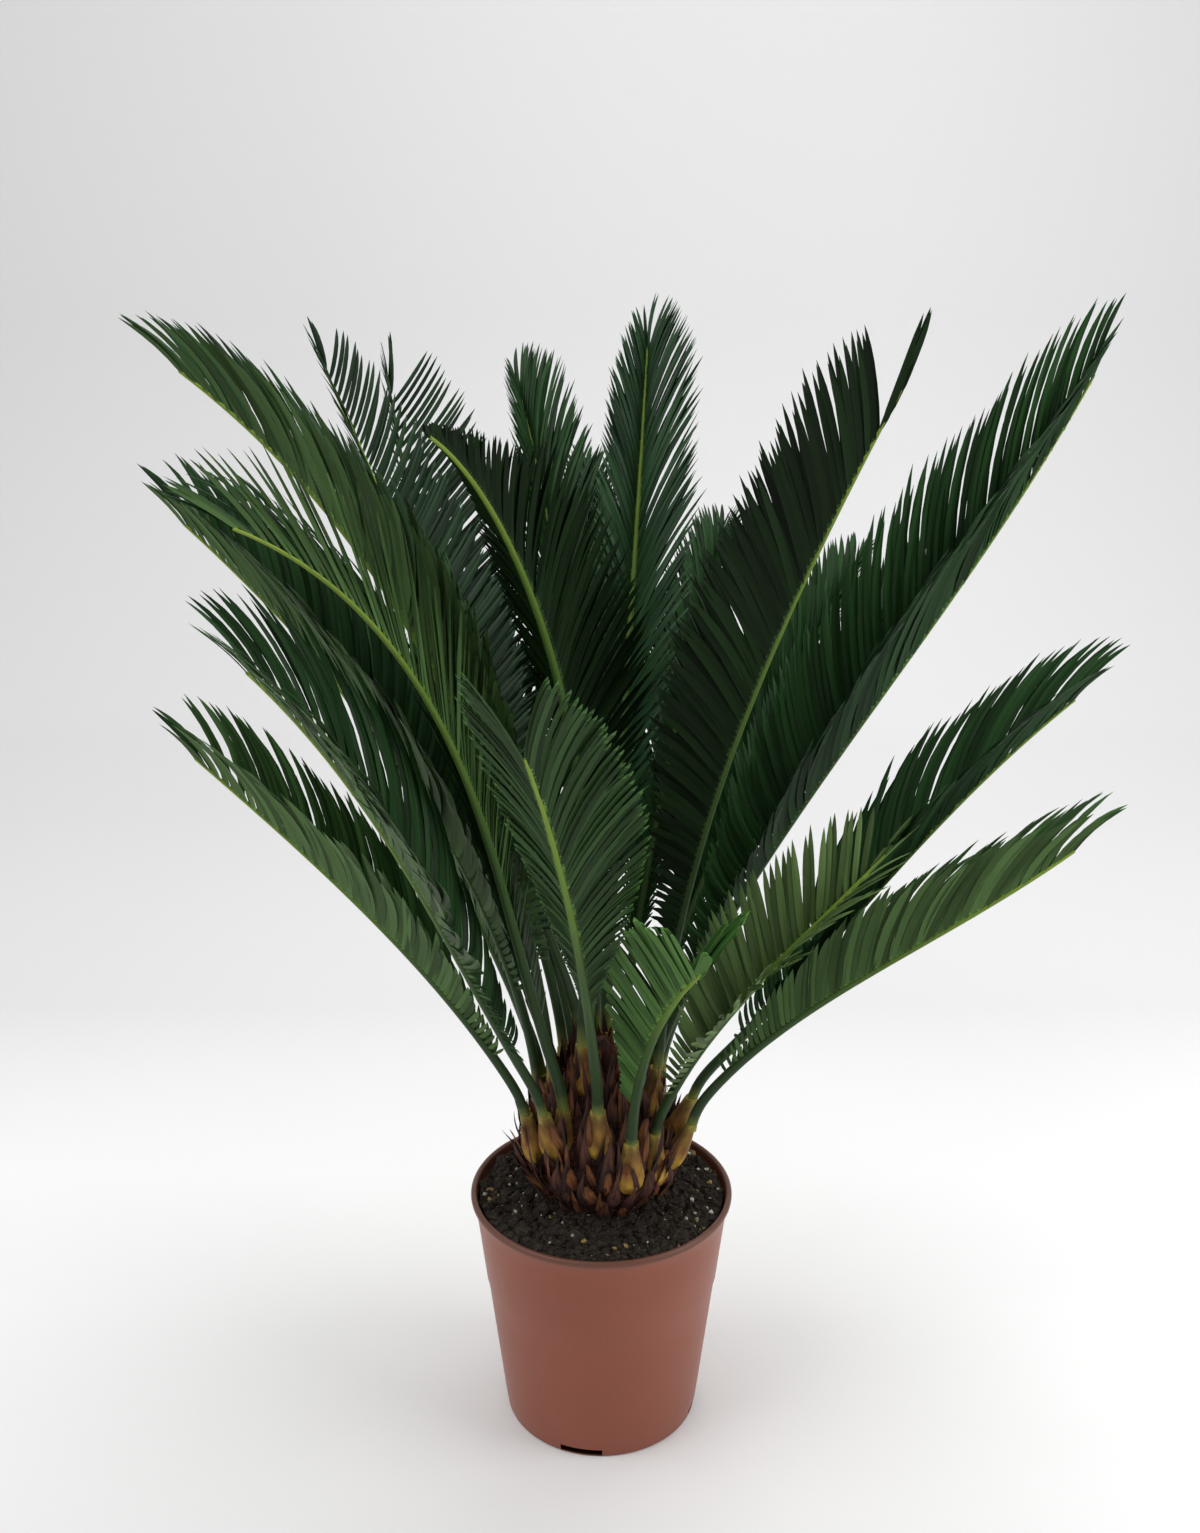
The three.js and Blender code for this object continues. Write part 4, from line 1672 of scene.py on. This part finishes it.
def level_directions(heading: np.ndarray) -> tuple[np.ndarray, np.ndarray]:
    """Return the level directions that belong to headings.

    Args:
        heading: The headings in radians.

    Returns:
        The directions outward from the axis, and across.
    """
    out, side, level = np.cos(heading), np.sin(heading), np.zeros(len(heading))
    return np.stack([out, side, level], axis=1), np.stack([-side, out, level], axis=1)


@dataclass(frozen=True)
class Husk:
    """One kind of dry scale: its outline, its size beside the others and its colours."""

    name: str
    pattern: BladePattern
    length: float
    width: float
    foot: Colour
    middle: Colour
    tip: Colour
    shade: Colour

    def dress(self, scales: bpy.types.Object) -> None:
        """Give joined scales their material, which fades along each scale.

        Args:
            scales: The joined scales.
        """
        stops = ((0.0, self.foot), (0.5, self.middle), (1.0, self.tip))
        name = f"husk_{self.name}_outer"
        grain = {"across": 8.0, "along": 1.2, "depth": 0.0008}
        finish = LengthwiseFinish(
            name, stops, self.shade, 0.85, roughness=0.75, specular=0.25, **grain
        )
        dress_alike(scales, finish.build())


HUSKS = (
    Husk(
        "purple", SCALE_PATTERN, 1.0, 1.0,
        srgb(66, 38, 32), srgb(92, 55, 42), srgb(62, 42, 34), srgb(34, 20, 19),
    ),
    Husk(
        "rust", TORN_PATTERN, 0.85, 0.85,
        srgb(84, 47, 30), srgb(134, 82, 44), srgb(96, 62, 38), srgb(46, 27, 20),
    ),
    Husk(
        "dark", SCALE_PATTERN, 1.15, 0.75,
        srgb(46, 28, 26), srgb(58, 36, 32), srgb(84, 60, 46), srgb(24, 15, 15),
    ),
)


@dataclass
class Trunk:
    """A squat bulb of a trunk: a rough core, swollen leaf bases, dry scales and rust wool."""

    foot: float = 0.1715
    foot_radius: float = 0.035
    belly_radius: float = 0.056
    belly_height: float = 0.046
    top: float = 0.300
    top_radius: float = 0.005
    shoulder_curve: float = 1.15
    relief_depth: float = 0.0022
    base_radius: float = 0.0098
    base_top_radius: float = 0.0050
    base_drop: float = 0.036
    base_reach: float = 0.006
    base_corners: int = 14
    scale_count: int = 165
    scale_length: float = 0.034
    scale_half_width: float = 0.0056
    cover_length: float = 0.024
    hair_count: int = 1800
    hair_length: float = 0.007
    hair_half_width: float = 0.00032
    seed: int = 5

    def radius(self, height: float) -> float:
        """Return the trunk's radius: a foot, a wide belly and a rounded top.

        Args:
            height: The height.

        Returns:
            The radius.
        """
        belly = self.foot + self.belly_height
        if height < belly:
            share = (height - self.foot) / self.belly_height
            return mix(self.foot_radius, self.belly_radius, math.sin(share * math.pi / 2.0))
        share = min(1.0, (height - belly) / (self.top - belly))
        return mix(self.belly_radius, self.top_radius, share**self.shoulder_curve)

    def build(self, stalks: Sequence[Stalk]) -> list[bpy.types.Object]:
        """Build and dress the trunk's pieces.

        Args:
            stalks: The stalks that leave it.

        Returns:
            Its core, leaf bases, scales and wool.
        """
        pieces = [self._core(), self._leaf_bases(stalks), self._covers(stalks), self._wool()]
        return pieces + [self._scales(k, husk) for k, husk in enumerate(HUSKS)]

    def _core(self) -> bpy.types.Object:
        """Build the core with the relief of old scars.

        Returns:
            The core.
        """
        heights = np.linspace(self.foot, self.top, 60)
        profile = [(0.0, self.foot)] + [(self.radius(h) - 0.002, h) for h in heights]
        bm = spun(profile + [(0.0, self.top)], 120)
        for vert in bm.verts:
            flat = Vector((vert.co.x, vert.co.y, 0.0))
            if flat.length > 1e-4:
                vert.co += flat.normalized() * self.relief_depth * relief(vert.co, 90.0, 2.0)
        core = finish_mesh(bm, "trunk_core", 60.0)
        light, dark = srgb(70, 42, 34), srgb(22, 14, 12)
        finish = GrainyFinish("trunk_core", light, dark, roughness=0.85, broad=70.0)
        core.data.materials.append(finish.build())
        return core

    def _base_foot(self, shape: FrondShape) -> tuple[float, float]:
        """Work out where a leaf base starts.

        Args:
            shape: The sizes of the frond that it carries.

        Returns:
            Its distance from the axis and its height.
        """
        low = shape.height - self.base_drop
        sunk = self.radius(low + 0.012) - self.base_radius * 0.45
        return min(shape.radius + 0.002, sunk), low

    def _leaf_bases(self, stalks: Sequence[Stalk]) -> bpy.types.Object:
        """Build the swollen base under every stalk, rounded below and slim above.

        Args:
            stalks: The stalks.

        Returns:
            The joined bases.
        """
        swell = ((0.0, 0.05), (0.05, 0.62), (0.16, 0.93), (0.34, 1.0), (0.58, 0.82), (0.8, 0.6))
        bm = bmesh.new()
        for stalk in stalks:
            shape = stalk.shape
            top = stalk.points[0] + stalk.along(np.array(0.01)) * self.base_reach
            root = polar(shape.heading, *self._base_foot(shape))
            across = polar(shape.heading + 90.0, 1.0, 0.0)
            outward = polar(shape.heading, 1.0, 0.0)
            angles = np.linspace(0.0, math.tau, self.base_corners, endpoint=False)
            rings = []
            for share, width in swell + ((1.0, self.base_top_radius / self.base_radius),):
                middle = root + (top - root) * share
                radius = self.base_radius * width
                ring = [
                    middle
                    + across * (radius * 1.08 * math.cos(a))
                    - outward * (radius * 0.9 * math.sin(a))
                    for a in angles
                ]
                rings.append(ring)
            rolled_tube(bm, np.array(rings))
        bases = finish_mesh(bm, "leaf_bases", 60.0)
        bases.data.materials.append(
            LengthwiseFinish(
                "leaf_base",
                stops=(
                    (0.0, srgb(110, 70, 36)),
                    (0.1, srgb(188, 140, 52)),
                    (0.4, srgb(196, 158, 64)),
                    (0.62, srgb(152, 112, 52)),
                    (0.85, srgb(112, 92, 44)),
                    (1.0, srgb(150, 140, 62)),
                ),
                shade=srgb(88, 50, 34),
                shade_share=0.75,
                roughness=0.6,
                across=6.0,
                along=4.0,
                depth=0.0006,
                specular=0.15,
            ).build()
        )
        return bases

    def _covers(self, stalks: Sequence[Stalk]) -> bpy.types.Object:
        """Build the scales that half hide the leaf bases, two for each.

        Args:
            stalks: The stalks.

        Returns:
            The joined scales.
        """
        rng = np.random.default_rng(self.seed + 9)
        roots, tips, uppers = [], [], []
        for stalk in stalks:
            shape = stalk.shape
            centre, low = self._base_foot(shape)
            for side in (-1.0, 1.0):
                heading = shape.heading + side * rng.uniform(9.0, 15.0)
                reach = centre + self.base_radius * 0.5
                height = low + rng.uniform(-0.006, 0.004)
                root = polar(heading, min(reach, self.radius(height) + 0.007), height)
                length = self.cover_length * rng.uniform(0.6, 1.1)
                lean = polar(heading, rng.uniform(-0.05, 0.16), 1.0)
                sway = polar(heading + 90.0, -side * rng.uniform(0.0, 0.2), 0.0)
                roots.append(root)
                tips.append(root + unit(lean + sway) * length)
                uppers.append(polar(heading, 1.0, 0.0))
        count = len(roots)
        bed = BladeBed(
            roots=np.array(roots),
            tips=np.array(tips),
            uppers=np.array(uppers),
            half_widths=self.scale_half_width * rng.uniform(0.6, 1.0, count),
            bows=np.array(uppers) * rng.uniform(0.0005, 0.0025, (count, 1)),
            droops=np.zeros(count),
            tilts=rng.normal(0.0, 0.2, count),
            twists=rng.normal(0.0, 0.35, count),
            tints=rng.random(count),
        )
        covers = bed.join("trunk_covers", SCALE_PATTERN)
        HUSKS[0].dress(covers)
        return covers

    def _scales(self, order_of_kind: int, husk: Husk) -> bpy.types.Object:
        """Build one kind of dry scale in a rising spiral.

        Args:
            order_of_kind: Which kind it is, from 0, which turns the spiral and seeds the scatter.
            husk: The kind's name, shape and colours.

        Returns:
            The joined scales.
        """
        rng = np.random.default_rng(self.seed + 20 + order_of_kind)
        count = self.scale_count
        order = np.arange(count)
        stray = rng.normal(0.0, 9.0, count)
        heading = np.radians(order * GOLDEN_ANGLE + 47.0 * order_of_kind + stray)
        share = (order + rng.random(count)) / count
        height = self.foot + 0.004 + (self.top - self.foot - 0.022) * share**0.9
        depth = rng.uniform(-0.003, 0.004, count) * (1.0 - 0.5 * share)
        radius = np.array([self.radius(h) for h in height]) + depth
        outward, across = level_directions(heading)
        roots = outward * radius[:, None] + UP * height[:, None]
        lean = np.radians(rng.uniform(-2.0, 24.0, count) - 12.0 * share)
        lean += np.radians(24.0) * np.clip(1.0 - (height - self.foot) / self.belly_height, 0.0, 1.0)
        sway = rng.normal(0.0, 0.13, count)
        up = UP * np.cos(lean)[:, None] + outward * np.sin(lean)[:, None]
        direction = unit(up + across * sway[:, None])
        length = self.scale_length * husk.length * rng.uniform(0.5, 1.15, count)
        width = self.scale_half_width * husk.width
        bed = BladeBed(
            roots=roots,
            tips=roots + direction * length[:, None],
            uppers=outward,
            half_widths=width * rng.uniform(0.55, 1.1, count) * (1.0 - 0.4 * share),
            bows=outward * (length * rng.uniform(-0.05, 0.1, count))[:, None],
            droops=np.zeros(count),
            tilts=rng.normal(0.0, 0.3, count),
            twists=rng.normal(0.0, 0.6, count),
            tints=rng.random(count),
        )
        scales = bed.join(f"trunk_scales_{husk.name}", husk.pattern)
        husk.dress(scales)
        return scales

    def _wool(self) -> bpy.types.Object:
        """Build the short rust wool that sits between the scales.

        Returns:
            The joined hairs.
        """
        rng = np.random.default_rng(self.seed + 1)
        count = self.hair_count
        heading = rng.uniform(0.0, math.tau, count)
        height = self.foot + 0.012 + (self.top - self.foot - 0.018) * rng.random(count) ** 0.8
        radius = np.array([self.radius(h) for h in height]) - 0.001
        outward, _ = level_directions(heading)
        roots = outward * radius[:, None] + UP * height[:, None]
        stray = rng.normal(0.0, 0.6, (count, 3))
        direction = unit(outward * 0.8 + UP * 0.7 + stray)
        length = self.hair_length * rng.uniform(0.5, 1.3, count)
        bed = BladeBed(
            roots=roots,
            tips=roots + direction * length[:, None],
            uppers=outward + 0.1 * stray,
            half_widths=np.full(count, self.hair_half_width),
            bows=rng.normal(0.0, 0.0008, (count, 3)),
            droops=np.zeros(count),
            tilts=np.zeros(count),
            twists=np.zeros(count),
            tints=rng.random(count),
        )
        wool = bed.join("trunk_wool", HAIR_PATTERN)
        light, dark = srgb(136, 84, 46), srgb(78, 44, 28)
        finish = GrainyFinish("trunk_wool", light, dark, roughness=0.9, broad=120.0)
        dress_alike(wool, finish.build())
        return wool


# ------------------------------------------------------------------ studio


@dataclass
class Studio:
    """A pale seamless sweep, soft lights and the camera."""

    floor_front: float = -2.6
    floor_back: float = 1.7
    half_width: float = 2.6
    curve_radius: float = 0.7
    wall_top: float = 3.2
    camera_place: tuple[float, float, float] = (-0.001, -1.017, 0.832)
    camera_pitch: float = 0.314
    focal_px: float = 1600.0
    image_height_px: float = 1533.0
    sensor: float = 36.0
    air_strength: float = 0.47
    aim_height: float = 0.35

    def build(self) -> None:
        """Build the sweep, the lights, the world and the camera."""
        self._sweep()
        self._world()
        self._light("key_softbox", (-1.6, -0.6, 2.3), (1.9, 1.9), 30.0)
        self._light("top_softbox", (0.3, 0.6, 2.7), (2.2, 2.2), 38.0)
        self._light("right_softbox", (1.7, -0.5, 1.3), (1.2, 1.6), 17.0)
        self._camera()
        bpy.context.scene.view_settings.view_transform = "Standard"

    def _sweep(self) -> None:
        """Build the floor that curves up into the backdrop."""
        curve = self.curve_radius
        middle = (self.floor_back, curve)
        rows = [(self.floor_front, 0.0), (0.0, 0.0), (self.floor_back, 0.0)]
        rows += arc(middle, curve, -90.0, 0.0, 14)[1:]
        rows += [(self.floor_back + curve, self.wall_top)]
        bm = bmesh.new()
        verts = [bm.verts.new((-self.half_width, y, z - 0.0002)) for y, z in rows]
        edges = [bm.edges.new(pair) for pair in zip(verts, verts[1:])]
        made = bmesh.ops.extrude_edge_only(bm, edges=edges)["geom"]
        moved = [item for item in made if isinstance(item, bmesh.types.BMVert)]
        bmesh.ops.translate(bm, verts=moved, vec=(2.0 * self.half_width, 0.0, 0.0))
        bmesh.ops.recalc_face_normals(bm, faces=bm.faces)
        sweep = finish_mesh(bm, "paper_sweep")
        sweep.data.materials.append(BackdropPaper().build())

    def _world(self) -> None:
        """Fill the room with even pale light."""
        world = bpy.data.worlds.new("studio_air")
        world.use_nodes = True
        background = world.node_tree.nodes["Background"]
        background.inputs["Color"].default_value = (1.0, 1.0, 1.0, 1.0)
        background.inputs["Strength"].default_value = self.air_strength
        bpy.context.scene.world = world

    def _light(
        self,
        name: str,
        place: tuple[float, float, float],
        size: tuple[float, float],
        power: float,
    ) -> None:
        """Hang a soft rectangular light that faces the plant.

        Args:
            name: The light's name.
            place: Where it hangs.
            size: Its width and height.
            power: Its power in watts.
        """
        data = bpy.data.lights.new(name, "AREA")
        data.shape = "RECTANGLE"
        data.size, data.size_y = size
        data.energy = power
        light = bpy.data.objects.new(name, data)
        light.location = place
        aim = Vector((0.0, 0.0, self.aim_height)) - Vector(place)
        light.rotation_euler = aim.to_track_quat("-Z", "Y").to_euler()
        bpy.context.scene.collection.objects.link(light)

    def _camera(self) -> None:
        """Set up the camera."""
        data = bpy.data.cameras.new("camera")
        data.sensor_fit = "VERTICAL"
        data.sensor_height = self.sensor
        data.lens = self.focal_px / self.image_height_px * self.sensor
        data.clip_end = 50.0
        camera = bpy.data.objects.new("camera", data)
        camera.location = self.camera_place
        camera.rotation_euler = (math.pi / 2.0 - self.camera_pitch, 0.0, 0.0)
        bpy.context.scene.collection.objects.link(camera)
        bpy.context.scene.camera = camera


# ------------------------------------------------------------------ the whole plant


def settle(pieces: Sequence[bpy.types.Object], node: str) -> None:
    """Say what pieces stand for and what they ride on.

    Args:
        pieces: The pieces of one sub-assembly.
        node: The solid that they replace.
    """
    for piece in pieces:
        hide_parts(node)
        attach(piece, ROOT_BODY)
        faces = len(piece.data.polygons)
        LOG.info("%s stands for %s with %d faces", piece.name, node, faces)


def main() -> None:
    """Build the studio and every sub-assembly in order."""
    logging.basicConfig(level=logging.INFO, format="%(message)s")
    Studio().build()
    pot = Pot()
    settle([pot.build()], "pot")
    settle(Soil().build(pot), "soil")
    section = StalkSection()
    fronds = [Frond(shape, section) for shape in FRONDS]
    stalks = [frond.stalk for frond in fronds]
    settle(Trunk().build(stalks), "trunk")
    look = FrondLook()
    for k, frond in enumerate(fronds):
        others = stalks[:k] + stalks[k + 1 :]
        settle(frond.build(others, 100 + k, look), frond.shape.name)


if __name__ == "__main__":
    main()
